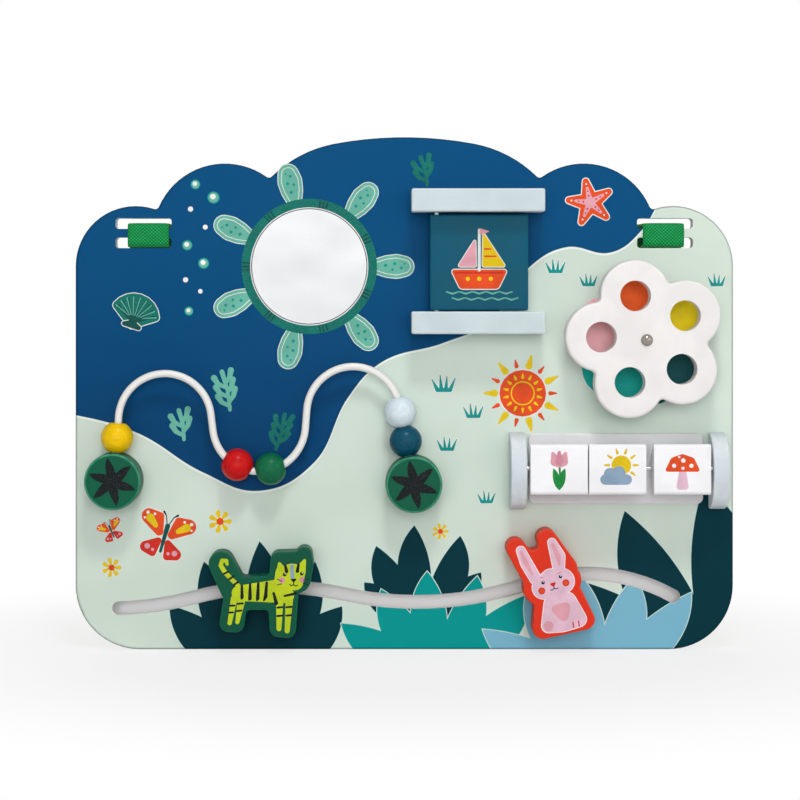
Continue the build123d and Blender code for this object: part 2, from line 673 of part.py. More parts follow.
def figure(shape, place, tilt):
    """Thick wooden figure over its peg, with a hole for the peg in its back."""
    with BuildPart() as body:
        with BuildSketch(at(FIGURE_H)) as outline:
            with Locations(Location((place[0], place[1], 0), (0, 0, tilt))):
                for circles in shape:
                    add(wrapped(*circles))
            offset(amount=HOLLOW_R, kind=Kind.ARC, mode=Mode.REPLACE)
            offset(amount=-HOLLOW_R, kind=Kind.ARC, mode=Mode.REPLACE)
        extrude(amount=FIGURE_T)
        fillet(body.edges().filter_by(Axis.Y, reverse=True), SOFT_EDGE_R)
        add(disc(place, PEG_R, FIGURE_H, PEG_BITE), mode=Mode.SUBTRACT)
    return body.part


FIGURES = (
    ("cat", CAT_SHAPE, CAT, CAT_TILT),
    ("rabbit", RABBIT_SHAPE, RABBIT, RABBIT_TILT),
)
for name, shape, place, tilt in FIGURES:
    save(figure(shape, place, tilt), f"{name}_figure")
    with BuildPart() as glide:
        add(disc(place, GLIDE_R, GLIDE_H, GLIDE_T))
        add(disc(place, PEG_SCREW_R + TURNING_FIT, GLIDE_H, GLIDE_T), mode=Mode.SUBTRACT)
    save(glide.part, f"{name}_glide")
    with BuildPart() as peg:
        add(disc(place, PEG_R, PEG_H, FIGURE_H + PEG_BITE - PEG_H))
        add(disc(place, PEG_SCREW_R, PEG_H, PEG_BITE), mode=Mode.SUBTRACT)
    save(peg.part, f"{name}_peg")
    with BuildPart() as peg_screw:
        head_h = GLIDE_H - END_PLAY - PEG_SCREW_HEAD_T
        add(disc(place, PEG_SCREW_HEAD_R, head_h, PEG_SCREW_HEAD_T))
        add(disc(place, PEG_SCREW_R, head_h, PEG_H + PEG_BITE - head_h))
    save(peg_screw.part, f"{name}_screw")

# ---- straps ----
# seen from the side, a sketch has x along Y and y along Z
BRIDGE = (SLOT_Z[0] + SLOT_H / 2, SLOT_Z[1] - SLOT_H / 2)
STRAP_FRONT = -FRONT - STRAP_LIFT - STRAP_T / 2
SLOT_EXIT = -1.0
LOOP = (LOOP_Y, (BRIDGE[0] + BRIDGE[1]) / 2 - LOOP_DROP)
INNER_R = LOOP_R + STRAP_T / 2
OUTER_R = INNER_R + STRAP_T + 2 * PATCH_T + STRAP_LIFT
UPPER_EXIT = (SLOT_EXIT, BRIDGE[1] + STRAP_PLAY[1] + STRAP_T / 2)
LOWER_EXIT = (SLOT_EXIT, BRIDGE[0] - STRAP_PLAY[0] - STRAP_T / 2)
UPPER_TOUCH = angle_to(LOOP, UPPER_EXIT) - degrees(acos(OUTER_R / distance(LOOP, UPPER_EXIT)))
LOWER_TOUCH = angle_to(LOOP, LOWER_EXIT) % 360 + degrees(acos(INNER_R / distance(LOOP, LOWER_EXIT)))
BRIDGE_BEND_R = 1.4
EXIT_BEND_R = 3.0


def across(centre_x, width):
    """Plane square to X at one side of a strip of this width."""
    return Plane.YZ.offset(centre_x - width / 2)


def strap(centre_x):
    """Webbing over the bridge between two slots, closed round the rail with overlapping ends."""
    with BuildPart() as band:
        with BuildSketch(across(centre_x, STRAP_W)):
            with BuildLine() as path:
                arc(LOOP, OUTER_R, -PATCH_ANGLE, UPPER_TOUCH)
                FilletPolyline(polar(LOOP, OUTER_R, UPPER_TOUCH), UPPER_EXIT, (STRAP_FRONT, UPPER_EXIT[1]),
                               (STRAP_FRONT, LOWER_EXIT[1]), LOWER_EXIT, polar(LOOP, INNER_R, LOWER_TOUCH),
                               radius=(EXIT_BEND_R, BRIDGE_BEND_R, BRIDGE_BEND_R, EXIT_BEND_R))
                arc(LOOP, INNER_R, LOWER_TOUCH, 360 + PATCH_ANGLE)
            trace(path.edges(), line_width=STRAP_T)
        extrude(amount=STRAP_W)
    return band.part


def patches(radius):
    """A curved patch of this inner radius on each strap, where its ends overlap."""
    with BuildPart() as pair:
        for centre_x in STRAP_X:
            with BuildSketch(across(centre_x, PATCH_W)):
                with BuildLine() as path:
                    arc(LOOP, radius + PATCH_T / 2, -PATCH_ANGLE, PATCH_ANGLE)
                trace(path.edges(), line_width=PATCH_T)
            extrude(amount=PATCH_W)
    return pair.part


save(strap(STRAP_X[0]), "strap_left")
save(strap(STRAP_X[1]), "strap_right")
save(patches(INNER_R + STRAP_T / 2), "strap_loop_patches")
save(patches(OUTER_R - STRAP_T / 2 - PATCH_T), "strap_hook_patches")
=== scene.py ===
# %% [markdown]
# # A wooden busy board
# The board hangs on a cot rail by two straps and carries a mirror, a bead maze, a door, a
# flower spinner, three turning picture blocks and two figures on a wavy track. The pieces
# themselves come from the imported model, at their real size and in their real place. This
# script gives each one its finish, prints the pictures on them, weaves the straps, and sets
# up the lamps and the camera.

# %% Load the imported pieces
from itertools import accumulate
from math import acos, atan2, cos, degrees, pi, radians, sin

import bmesh
import bpy
from mathutils import Matrix, Vector


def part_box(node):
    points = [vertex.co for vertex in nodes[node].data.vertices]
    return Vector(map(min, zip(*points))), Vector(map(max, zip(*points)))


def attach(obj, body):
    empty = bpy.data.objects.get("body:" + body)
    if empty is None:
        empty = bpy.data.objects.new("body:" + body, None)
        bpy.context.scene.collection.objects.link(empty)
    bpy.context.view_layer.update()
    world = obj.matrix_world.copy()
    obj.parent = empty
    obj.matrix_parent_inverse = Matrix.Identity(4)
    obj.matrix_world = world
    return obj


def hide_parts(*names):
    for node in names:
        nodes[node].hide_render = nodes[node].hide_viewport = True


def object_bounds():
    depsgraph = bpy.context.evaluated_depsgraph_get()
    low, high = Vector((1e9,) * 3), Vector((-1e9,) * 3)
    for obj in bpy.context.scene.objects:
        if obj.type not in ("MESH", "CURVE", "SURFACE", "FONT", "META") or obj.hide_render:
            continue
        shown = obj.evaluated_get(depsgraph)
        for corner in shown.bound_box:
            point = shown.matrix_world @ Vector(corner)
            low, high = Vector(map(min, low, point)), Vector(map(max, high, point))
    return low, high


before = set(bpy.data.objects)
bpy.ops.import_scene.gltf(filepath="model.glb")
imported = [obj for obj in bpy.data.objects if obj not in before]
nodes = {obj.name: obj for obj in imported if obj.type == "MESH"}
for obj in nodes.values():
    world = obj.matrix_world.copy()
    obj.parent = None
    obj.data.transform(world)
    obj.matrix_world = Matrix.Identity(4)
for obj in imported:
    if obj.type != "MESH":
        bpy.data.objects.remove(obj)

cad_bounds = [list(corner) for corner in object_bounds()]
MM = 0.001


def middle(node):
    """Middle of a piece's box, in millimetres, as x, height in front of the back face, and z."""
    low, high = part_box(node)
    centre = (low + high) / 2 / MM
    return centre.x, -centre.y, centre.z


def front_height(node):
    """Height of a piece's front, in millimetres in front of the back face."""
    return -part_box(node)[0].y / MM


def add_object(name, data):
    """An object with this data, in the scene."""
    made = bpy.data.objects.new(name, data)
    bpy.context.scene.collection.objects.link(made)
    return made


BOARD_FRONT = front_height("front_board")
print("front face", round(BOARD_FRONT, 2), "mm in front of the back face")

# %% [markdown]
# ## Camera
# A product is photographed from far away with a long lens, so that its upright lines stay
# parallel. The camera looks straight at the board, a little above and left of its middle, and
# the lens is shifted rather than turned, which keeps the board's outline square.

# %% Camera
CAMERA_PLACE = Vector((-26.6, -1535.0, 56.7)) * MM
camera_data = bpy.data.cameras.new("camera")
camera_data.lens = 112.5
camera_data.sensor_width = 36.0
camera_data.shift_x = 0.0493
camera_data.shift_y = -0.125
camera = add_object("camera", camera_data)
camera.location = CAMERA_PLACE
camera.rotation_euler = (pi / 2, 0, 0)
bpy.context.scene.camera = camera
bpy.context.scene.view_settings.view_transform = "Standard"
print("camera", round(camera.location.length, 2), "m away, with a lens of", camera_data.lens, "mm")

# %% [markdown]
# ## Nodes for the finishes
# Every finish is a Principled shader with a few textures. Writing the node links out each
# time would hide what a finish is made of, so a small class keeps the node tree and offers
# the steps that painters think in: noise, mixing two colours, and relief.


# %% Finish builder
def srgb(red, green, blue):
    """A colour in 0 to 255 steps as the linear values that a shader takes."""
    return (*[((c / 255 + 0.055) / 1.055) ** 2.4 for c in (red, green, blue)], 1.0)


def shade(colour, left):
    """A colour made darker, with this share of it left."""
    return (*[c * left for c in colour[:3]], 1.0)


def feed(tree, socket, value):
    """Give a socket a value, or link it when the value is another node's output."""
    if isinstance(value, bpy.types.NodeSocket):
        tree.links.new(value, socket)
    elif value is not None:
        socket.default_value = value


def add_node(tree, kind, inputs=(), **settings):
    """A shader node with its settings, and its first inputs given or linked."""
    made = tree.nodes.new("ShaderNode" + kind)
    for key, value in settings.items():
        setattr(made, key, value)
    for socket, value in zip(made.inputs, inputs):
        feed(tree, socket, value)
    return made


class Finish:
    """A material with its Principled shader, and short ways to add textures to it.
    Its settings are the shader's inputs, in lower case with underscores."""

    def __init__(self, name, **settings):
        self.material = bpy.data.materials.new(name)
        self.material.use_nodes = True
        self.tree = self.material.node_tree
        self.shader = self.tree.nodes["Principled BSDF"]
        for key, value in settings.items():
            self.shader.inputs[key.replace("_", " ").title().replace("Ior", "IOR")].default_value = value
        self.place = self.node("TexCoord")

    def node(self, kind, inputs=(), **settings):
        return add_node(self.tree, kind, inputs, **settings)

    def coordinates(self, stretch=(1, 1, 1)):
        """Where a point lies on the piece, in metres, squeezed along the grain."""
        return self.node("Mapping", (self.place.outputs["Object"], None, None, stretch)).outputs[0]

    def noise(self, size, detail=3.0, stretch=(1, 1, 1), distortion=0.0):
        """Soft spots of about this size in millimetres."""
        spots = self.node("TexNoise", (self.coordinates(stretch),))
        for setting, value in (("Scale", 1 / (size * MM)), ("Detail", detail), ("Distortion", distortion)):
            spots.inputs[setting].default_value = value
        return spots.outputs["Fac"]

    def maths(self, operation, *values):
        return self.node("Math", values, operation=operation).outputs[0]

    def between(self, value, low, high, from_value=0.0, to_value=1.0):
        """Map a value from one range to another, smoothly and clamped."""
        limits = (value, low, high, from_value, to_value)
        return self.node("MapRange", limits, interpolation_type="SMOOTHSTEP").outputs[0]

    def mix(self, share, first, second):
        """Blend of two colours. A Mix node keeps its colour sockets behind those for numbers."""
        blend = self.node("Mix", data_type="RGBA")
        for socket, value in ((0, share), (6, first), (7, second)):
            feed(self.tree, blend.inputs[socket], value)
        return blend.outputs[2]

    def normal_parts(self):
        """The surface direction's x, y and z, in the piece's own axes."""
        return self.node("SeparateXYZ", (self.place.outputs["Normal"],)).outputs

    def axes(self):
        """A point's x, y and z on the piece, in metres."""
        return self.node("SeparateXYZ", (self.place.outputs["Object"],)).outputs

    def colour(self, value):
        feed(self.tree, self.shader.inputs["Base Color"], value)

    def roughness(self, value):
        feed(self.tree, self.shader.inputs["Roughness"], value)

    def relief(self, height, depth, strength=1.0):
        """Bump of this depth in millimetres."""
        bump = self.node("Bump", (strength, depth * MM))
        feed(self.tree, bump.inputs["Height"], height)
        feed(self.tree, self.shader.inputs["Normal"], bump.outputs[0])


def dress(finish, *names):
    """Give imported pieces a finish."""
    for name in names:
        nodes[name].data.materials.clear()
        nodes[name].data.materials.append(finish.material)
    print(finish.material.name, "on", ", ".join(names))

# %% [markdown]
# ## Painted wood
# The toys are beech and plywood under satin paint. The finish gives the paint three things:
# the grain telegraphs through as faint relief, the colour drifts a little from spot to spot,
# and rounded edges are painted paler. That paler edge is painted highlight, where the lamp
# would catch the rounding, mixed with spots of wear where paint runs thin and small hands rub
# it. The rounded edges are found from the surface direction alone: on a flat face one of its
# three parts is nearly 1, and on a rounding none is.


# %% Paint
def edge_share(finish):
    """1 on the middle of a rounded edge, 0 on faces that follow one of the piece's axes."""
    x, y, z = [finish.maths("ABSOLUTE", part) for part in finish.normal_parts()]
    largest = finish.maths("MAXIMUM", finish.maths("MAXIMUM", x, y), z)
    return finish.between(largest, 0.97, 0.8)


def rim_share(finish):
    """1 on the rounded rim of a piece that is cut from flat board, 0 on its face and walls."""
    facing = finish.maths("ABSOLUTE", finish.normal_parts()[1])
    onto_rim = finish.between(facing, 0.1, 0.45)
    return finish.maths("MULTIPLY", onto_rim, finish.between(facing, 0.99, 0.85))


def paint(name, colour, edge, grain=(0.12, 1, 1), gloss=0.42, rim=edge_share, highlight_and_wear_amount=0.55):
    """Satin paint over wood whose grain runs along the axis that is squeezed, with painted highlight and wear
    on its edges.
    """
    finish = Finish(name, specular_ior_level=0.1)
    grain_lines = finish.noise(0.9, 4.0, grain, 0.4)
    patches = finish.noise(24.0, 2.0)
    dark = shade(colour, 0.93)
    body = finish.mix(finish.between(patches, 0.35, 0.65), dark, colour)
    body = finish.mix(finish.between(grain_lines, 0.30, 0.52, 0.35, 0.0), body, dark)
    # paler rounded edges: painted highlight, broken up by spots of wear
    wear_and_highlight = finish.maths("MULTIPLY", rim(finish), finish.between(finish.noise(5.0), 0.3, 0.7, 0.45, 1.0))
    finish.colour(finish.mix(finish.maths("MULTIPLY", wear_and_highlight, highlight_and_wear_amount), body, edge))
    finish.roughness(finish.between(patches, 0.3, 0.7, gloss - 0.05, gloss + 0.07))
    finish.relief(grain_lines, 0.05, 0.5)
    return finish


# The second colour of each paint is its rounded edges: painted highlight, with wear. This one is near white.
EDGE_HIGHLIGHT_AND_WEAR = srgb(242, 247, 249)
UPRIGHT = (1, 1, 0.12)      # squeeze for wood whose grain runs up and down

dress(paint("rail paint", srgb(203, 216, 219), EDGE_HIGHLIGHT_AND_WEAR), "door_rail_top", "door_rail_bottom")
dress(paint("door paint", srgb(0, 85, 109), srgb(30, 105, 125)), "door_panel")
dress(paint("bracket paint", srgb(210, 219, 225), EDGE_HIGHLIGHT_AND_WEAR, UPRIGHT),
      "block_bracket_left", "block_bracket_right")
dress(paint("tray paint", srgb(222, 221, 224), EDGE_HIGHLIGHT_AND_WEAR, highlight_and_wear_amount=0.6), "block_tray")
dress(paint("flower paint", srgb(238, 235, 233), srgb(252, 251, 250), UPRIGHT, 0.46, rim_share),
      "flower_spinner")
dress(paint("block paint", srgb(246, 245, 247), srgb(252, 252, 252)),
      "picture_block_left", "picture_block_middle", "picture_block_right")
dress(paint("post paint", srgb(2, 92, 66), srgb(84, 168, 134), rim=rim_share, highlight_and_wear_amount=0.8),
      "wire_post_left", "wire_post_right")
dress(paint("cat paint", srgb(4, 84, 60), srgb(30, 118, 88), rim=rim_share), "cat_figure")
dress(paint("rabbit paint", srgb(224, 50, 24), srgb(240, 92, 62), rim=rim_share), "rabbit_figure")

# %% [markdown]
# ## Lacquered beads
# Turned beads get a thick, glossy lacquer. The wood's rings run across each bead and show as
# slightly darker lines, and the gloss gives each bead one soft highlight from the lamp above.


# %% Bead lacquer
def lacquer(name, colour):
    """Thick clear lacquer over a colour, with rings that run across the bead."""
    finish = Finish(name, specular_ior_level=0.14)
    rings = finish.noise(1.5, 3.0, (0.25, 1, 0.35), 0.8)
    pores = finish.noise(0.45, 2.0, (0.15, 1, 0.15))
    finish.colour(finish.mix(finish.between(rings, 0.42, 0.62), shade(colour, 0.9), colour))
    finish.roughness(finish.between(pores, 0.35, 0.65, 0.24, 0.34))
    finish.relief(pores, 0.03, 0.35)
    return finish


BEAD_COLOURS = {
    "bead_yellow": srgb(248, 201, 0),
    "bead_red": srgb(206, 18, 20),
    "bead_green": srgb(10, 104, 66),
    "bead_teal": srgb(0, 76, 98),
    "bead_white": srgb(220, 234, 241),
}
for node, colour in BEAD_COLOURS.items():
    dress(lacquer(node.replace("_", " ") + " lacquer", colour), node)

# %% [markdown]
# ## Metal, coated wire and bare wood
# The maze wire has a smooth off-white powder coat with a very fine orange peel. The screws
# are zinc plated, so they are softly mottled and not mirror bright. The pieces that hide in
# the groove and behind the flower are bare beech with fine dark pores along the grain.


# %% Metal and wire
def metal(name, colour, rough, mottle=2.0, stretch=(1, 1, 1)):
    """Metal with soft spots of about this size in millimetres."""
    finish = Finish(name, metallic=1.0)
    spots = finish.noise(mottle, 4.0, stretch)
    finish.colour(finish.mix(finish.between(spots, 0.35, 0.65), shade(colour, 0.8), colour))
    finish.roughness(finish.between(spots, 0.3, 0.7, rough * 0.7, rough * 1.25))
    finish.relief(spots, 0.01, 0.3)
    return finish


dress(metal("zinc plate", srgb(196, 196, 192), 0.3), "back_board_screws", "post_screws",
      "door_rail_screws", "bracket_screws", "flower_nut", "cat_screw", "rabbit_screw")
dress(metal("polished steel", srgb(160, 154, 146), 0.1, 1.2), "flower_screw")
dress(metal("drawn steel", srgb(205, 206, 208), 0.2, 0.8, (0.05, 1, 1)), "block_rod", "door_pins")
dress(metal("brass", srgb(196, 158, 84), 0.25), "flower_bushing")

wire_coat = Finish("wire coat", base_color=srgb(232, 230, 226), roughness=0.32, coat_weight=0.2)
wire_coat.relief(wire_coat.noise(0.5, 2.0), 0.02, 0.3)
dress(wire_coat, "bead_wire")


# %% Bare beech
def beech(name, pale, dark):
    """Bare wood in two shades, with pores along the grain."""
    finish = Finish(name, roughness=0.6)
    bands = finish.noise(3.0, 3.0, (0.08, 1, 1), 0.6)
    pores = finish.noise(0.35, 2.0, (0.12, 1, 1))
    wood = finish.mix(finish.between(bands, 0.35, 0.65), dark, pale)
    finish.colour(finish.mix(finish.between(pores, 0.58, 0.7, 0.0, 0.4), wood, dark))
    finish.relief(pores, 0.05, 0.4)
    return finish


dress(beech("bare beech", srgb(214, 180, 132), srgb(186, 146, 96)), "cat_glide", "rabbit_glide",
      "cat_peg", "rabbit_peg", "flower_spacer")

# %% [markdown]
# ## The board's two panels
# The front board is plywood that was painted white all over and then printed: a blue sea above
# and a mint shore below. The shoreline is a curve that gives a height for each place across
# the board. A Float Curve node holds that curve, so the edge stays sharp at any distance and
# runs round the board's rounded rim. The white paint on the walls lets the plies show through
# as faint lines.

# %% Front board
SHORE_SPAN = 200.0      # the curve covers this far each side of the middle, and up and down
SHORE = ((-200, -14), (-162, -25), (-122, -49), (-88, -60), (-55, -43), (-34, -3), (-14, 18), (24, 30),
         (52, 43), (75, 75), (98, 88), (126, 85), (144, 98), (156, 118), (200, 190))
LINE_SHARE = 0.0014     # half the pale line along the shore, as a share of the curve's height
PLY_THICK = 1.5         # one layer of the plywood, in millimetres
SEA_LOW, SEA_HIGH = -70, 110    # heights between which the sea grows paler


def plies(finish, line, body):
    """Thin lines between the layers of the plywood, as they show on its walls."""
    layer = finish.maths("MULTIPLY", finish.axes()[1], pi / (PLY_THICK * MM))
    stripe = finish.maths("ABSOLUTE", finish.maths("SINE", layer))
    fibres = finish.between(finish.noise(1.0, 3.0, (0.2, 1, 0.2)), 0.4, 0.65, 0.0, 0.5)
    wall = finish.mix(finish.between(stripe, 0.35, 0.05), body, line)
    return finish.mix(finish.maths("MULTIPLY", fibres, 0.5), wall, line)


def shore_height(finish):
    """How far a point lies above the shoreline, in the curve's own units."""
    x, _, z = finish.axes()
    across, up = [finish.maths("MULTIPLY_ADD", part, 1 / (2 * SHORE_SPAN * MM), 0.5) for part in (x, z)]
    curve = finish.node("FloatCurve")
    feed(finish.tree, curve.inputs["Value"], across)
    points = curve.mapping.curves[0].points
    places = [[(value / SHORE_SPAN + 1) / 2 for value in pair] for pair in SHORE]
    points[0].location, points[-1].location = places[0], places[-1]
    for place in places[1:-1]:
        points.new(*place)
    curve.mapping.update()
    return finish.maths("SUBTRACT", up, curve.outputs[0])


board = Finish("printed board", specular_ior_level=0.04)
above = shore_height(board)
cloudy = board.noise(60.0, 2.0)
grain = board.noise(1.1, 4.0, (0.1, 1, 1), 0.4)
board_height = board.between(board.axes()[2], SEA_LOW * MM, SEA_HIGH * MM)
sea = board.mix(board_height, srgb(0, 62, 107), srgb(0, 76, 123))
mint = board.mix(board.between(cloudy, 0.35, 0.65), srgb(203, 217, 205), srgb(209, 222, 211))
printed = board.mix(board.between(above, LINE_SHARE, LINE_SHARE * 1.4), mint, sea)
on_line = board.between(board.maths("ABSOLUTE", above), LINE_SHARE * 1.4, LINE_SHARE)
printed = board.mix(on_line, printed, srgb(228, 236, 228))

# %% [markdown]
# Fans of pointed leaves grow from the lower edge, in three colours, behind the track. A leaf is
# the overlap of two circles, so the finish finds it with two distances: how far a point lies
# outside the first circle, and outside the second. The larger of the two is negative only
# inside the leaf. A fan is the smallest value over its leaves, and a thin pale line runs where
# that value is just above zero.


# %% Leaves along the lower edge
def leaf_field(finish, flat, x, z, direction, length, width, bend):
    """How far a point lies outside one leaf, in metres, and below 0 inside it."""
    along = Vector((cos(radians(direction)), 0, sin(radians(direction))))
    aside = Vector((-along.z, 0, along.x))
    centre = Vector((x, 0, z)) + along * length / 2
    sides = []
    for way, bulge in ((1, width / 2 + bend), (-1, width / 2 - bend)):
        radius = ((length / 2) ** 2 + bulge ** 2) / (2 * bulge)
        place = tuple((centre - aside * way * (radius - bulge)) * MM)
        away = finish.node("VectorMath", (flat, place), operation="DISTANCE").outputs["Value"]
        sides.append(finish.maths("SUBTRACT", away, radius * MM))
    return finish.maths("MAXIMUM", *sides)


DARK_LEAF = srgb(0, 52, 62)
# a fan's colour, x and z of its foot, then each leaf's direction, length, width and bend
FANS = (
    (DARK_LEAF, -88, -166,
     ((146, 66, 24, 6), (118, 72, 25, 5), (90, 76, 24, -3), (62, 72, 25, -6), (36, 62, 24, -6))),
    (DARK_LEAF, 12, -136,
     ((124, 52, 20, 5), (96, 56, 20, 3), (66, 54, 20, -5), (150, 42, 18, 4), (38, 44, 18, -4))),
    (DARK_LEAF, 192, -172,
     ((95, 116, 40, -8), (120, 116, 38, 8), (146, 104, 34, 8), (166, 84, 28, 6))),
    (srgb(0, 146, 142), 20, -166,
     ((156, 64, 22, 5), (126, 58, 22, 5), (96, 58, 22, 2), (66, 60, 22, -5), (38, 72, 24, -6))),
    (srgb(120, 178, 200), 118, -172,
     ((158, 76, 24, 6), (130, 68, 24, 6), (100, 62, 24, 3), (70, 64, 24, -5), (42, 76, 24, -6))),
)
LEAF_LINE = 0.45        # pale line round a fan, in millimetres
LEAF_SOFT = 0.1         # half the softness of a leaf's own edge
on_face = (board.place.outputs["Object"], (1, 0, 1))
onto_face = board.node("VectorMath", on_face, operation="MULTIPLY").outputs["Vector"]
for colour, foot_x, foot_z, blades in FANS:
    fan = None
    for blade in blades:
        field = leaf_field(board, onto_face, foot_x, foot_z, *blade)
        fan = field if fan is None else board.maths("MINIMUM", fan, field)
    near = board.between(fan, LEAF_LINE * 1.2 * MM, LEAF_LINE * MM)
    inside = board.between(fan, LEAF_SOFT * MM, -LEAF_SOFT * MM)
    printed = board.mix(near, printed, srgb(196, 222, 214))
    printed = board.mix(inside, printed, colour)

# %% [markdown]
# The print runs a little way round the board's rounded rim, where it is painted darker towards
# black as shade. Behind the rim the walls show white paint over the plies.

# %% Rim and walls
turned_to_front = board.normal_parts()[1]
# painted shade: the print darkens towards black on the rounded rim
painted_rim_shade = board.between(turned_to_front, -0.97, -0.4, 0.0, 0.7)
printed = board.mix(painted_rim_shade, printed, (0, 0, 0, 1))
faces_front = board.between(turned_to_front, 0.0, -0.08)
walls = plies(board, srgb(206, 201, 190), srgb(244, 244, 241))
board.colour(board.mix(faces_front, walls, printed))
board.roughness(board.between(cloudy, 0.3, 0.7, 0.42, 0.5))
board.relief(grain, 0.02, 0.25)
dress(board, "front_board")

# %% [markdown]
# The thin back panel closes the groove of the track. Its front is painted pale grey, and that
# is what shows along the bottom of the slot. Its back is clear-sealed plywood.

# %% Back panel
panel = Finish("back panel", roughness=0.5, specular_ior_level=0.25)
figure_bands = panel.noise(7.0, 3.0, (0.06, 1, 1), 0.5)
pores = panel.noise(0.5, 3.0, (0.08, 1, 1))
bands_share = panel.between(figure_bands, 0.4, 0.62)
face = panel.mix(bands_share, srgb(208, 178, 130), srgb(222, 196, 152))
face = panel.mix(panel.between(pores, 0.56, 0.7, 0.0, 0.5), face, srgb(170, 130, 84))
turned_to_back = panel.normal_parts()[1]
is_back = panel.between(turned_to_back, 0.4, 0.6)
is_front = panel.between(turned_to_back, -0.4, -0.6)
layers = plies(panel, srgb(158, 118, 76), srgb(216, 188, 142))
panel.colour(panel.mix(is_front, panel.mix(is_back, layers, face), srgb(238, 237, 238)))
panel.relief(pores, 0.06, 0.4)
dress(panel, "back_board")

# %% [markdown]
# ## Mirror
# A toy mirror is polished acrylic. It is bright but never quite flat, so a slow swell in its
# surface bends what it reflects.

# %% Mirror
acrylic = Finish("safety mirror", base_color=srgb(243, 244, 245), metallic=1.0)
swell = acrylic.noise(38.0, 1.0)
haze = acrylic.noise(16.0, 4.0, (0.3, 1, 1))
acrylic.roughness(acrylic.between(haze, 0.3, 0.7, 0.05, 0.12))
acrylic.relief(swell, 0.9, 0.5)
dress(acrylic, "mirror")
foam = Finish("foam tape", base_color=srgb(92, 92, 95), roughness=0.9)
foam.relief(foam.noise(0.4, 2.0), 0.1, 0.6)
dress(foam, "mirror_pad")

# %% [markdown]
# ## Printing
# The pictures are screen prints: flat shapes of thick ink, laid one over the other. Every
# shape here is a rubber band stretched round a few circles, or a brush stroke through them.
# `bmesh.ops.convex_hull` makes exactly that from two rings of vertices per circle. Each shape
# lies a hair above the one before, so that no two share a plane.

# %% Inks
INK_START = 0.02        # height of the first shape above the surface, in millimetres
INK_STEP = 0.0025       # each further shape is this much higher
INK_SINK = 0.05         # how far the ink reaches into the surface
RING_POINTS = 20
RING_STEPS = 120


def ink(name, colour):
    """Matt ink with the fine speckle of a screen print."""
    finish = Finish("ink " + name, specular_ior_level=0.1)
    pale = (*[c + (1 - c) * 0.07 for c in colour[:3]], 1.0)
    speckle = finish.noise(0.5, 2.0)
    body = finish.mix(finish.between(finish.noise(12.0, 2.0), 0.35, 0.65), shade(colour, 0.86), colour)
    finish.colour(finish.mix(finish.between(speckle, 0.56, 0.68, 0.0, 0.7), body, pale))
    finish.roughness(finish.between(speckle, 0.3, 0.7, 0.46, 0.58))
    finish.relief(speckle, 0.02, 0.4)
    return finish.material


INK_COLOURS = {
    "pale": (226, 232, 226), "white": (240, 240, 238), "black": (14, 24, 26), "night": (2, 52, 62),
    "green": (0, 112, 100), "pine": (0, 78, 72), "sage": (104, 180, 160), "teal": (0, 146, 140),
    "sky": (122, 180, 202), "orange": (228, 76, 26), "red": (208, 44, 28), "yellow": (230, 196, 12),
    "pink": (224, 160, 172), "blush": (228, 188, 206), "rose": (214, 140, 160), "lime": (190, 208, 28),
    # The spot inks at the end are brighter than the others: painted light against the spinner's shade.
    "leaf": (24, 140, 62), "slate": (140, 164, 188), "spot yellow": (255, 228, 20),
    "spot orange": (255, 104, 40), "spot pink": (255, 190, 196), "spot teal": (10, 168, 158),
    "spot night": (14, 82, 88),
}
INKS = {name: ink(name, srgb(*colour)) for name, colour in INK_COLOURS.items()}
print(len(INKS), "inks")

# %% [markdown]
# A picture is drawn flat, in millimetres to the right and up, and laid on its surface at the
# end. It becomes one mesh, with one material for each ink.


# %% Print
def on_plane(height):
    """Matrix from a drawing's right, up and out to a plane that faces the front, in metres."""
    out_of_board = Matrix(((1, 0, 0, 0), (0, 0, -1, -height), (0, 1, 0, 0), (0, 0, 0, 1)))
    return Matrix.Scale(MM, 4) @ out_of_board


def polar(radius, angle):
    """x and y of a point at this distance from the middle, in this direction in degrees."""
    return radius * cos(radians(angle)), radius * sin(radians(angle))


def mesh_object(name, mesh, *materials):
    """An object made of a finished bmesh."""
    data = bpy.data.meshes.new(name)
    mesh.to_mesh(data)
    mesh.free()
    for material in materials:
        data.materials.append(material)
    print(name, len(data.polygons), "faces")
    return add_object(name, data)


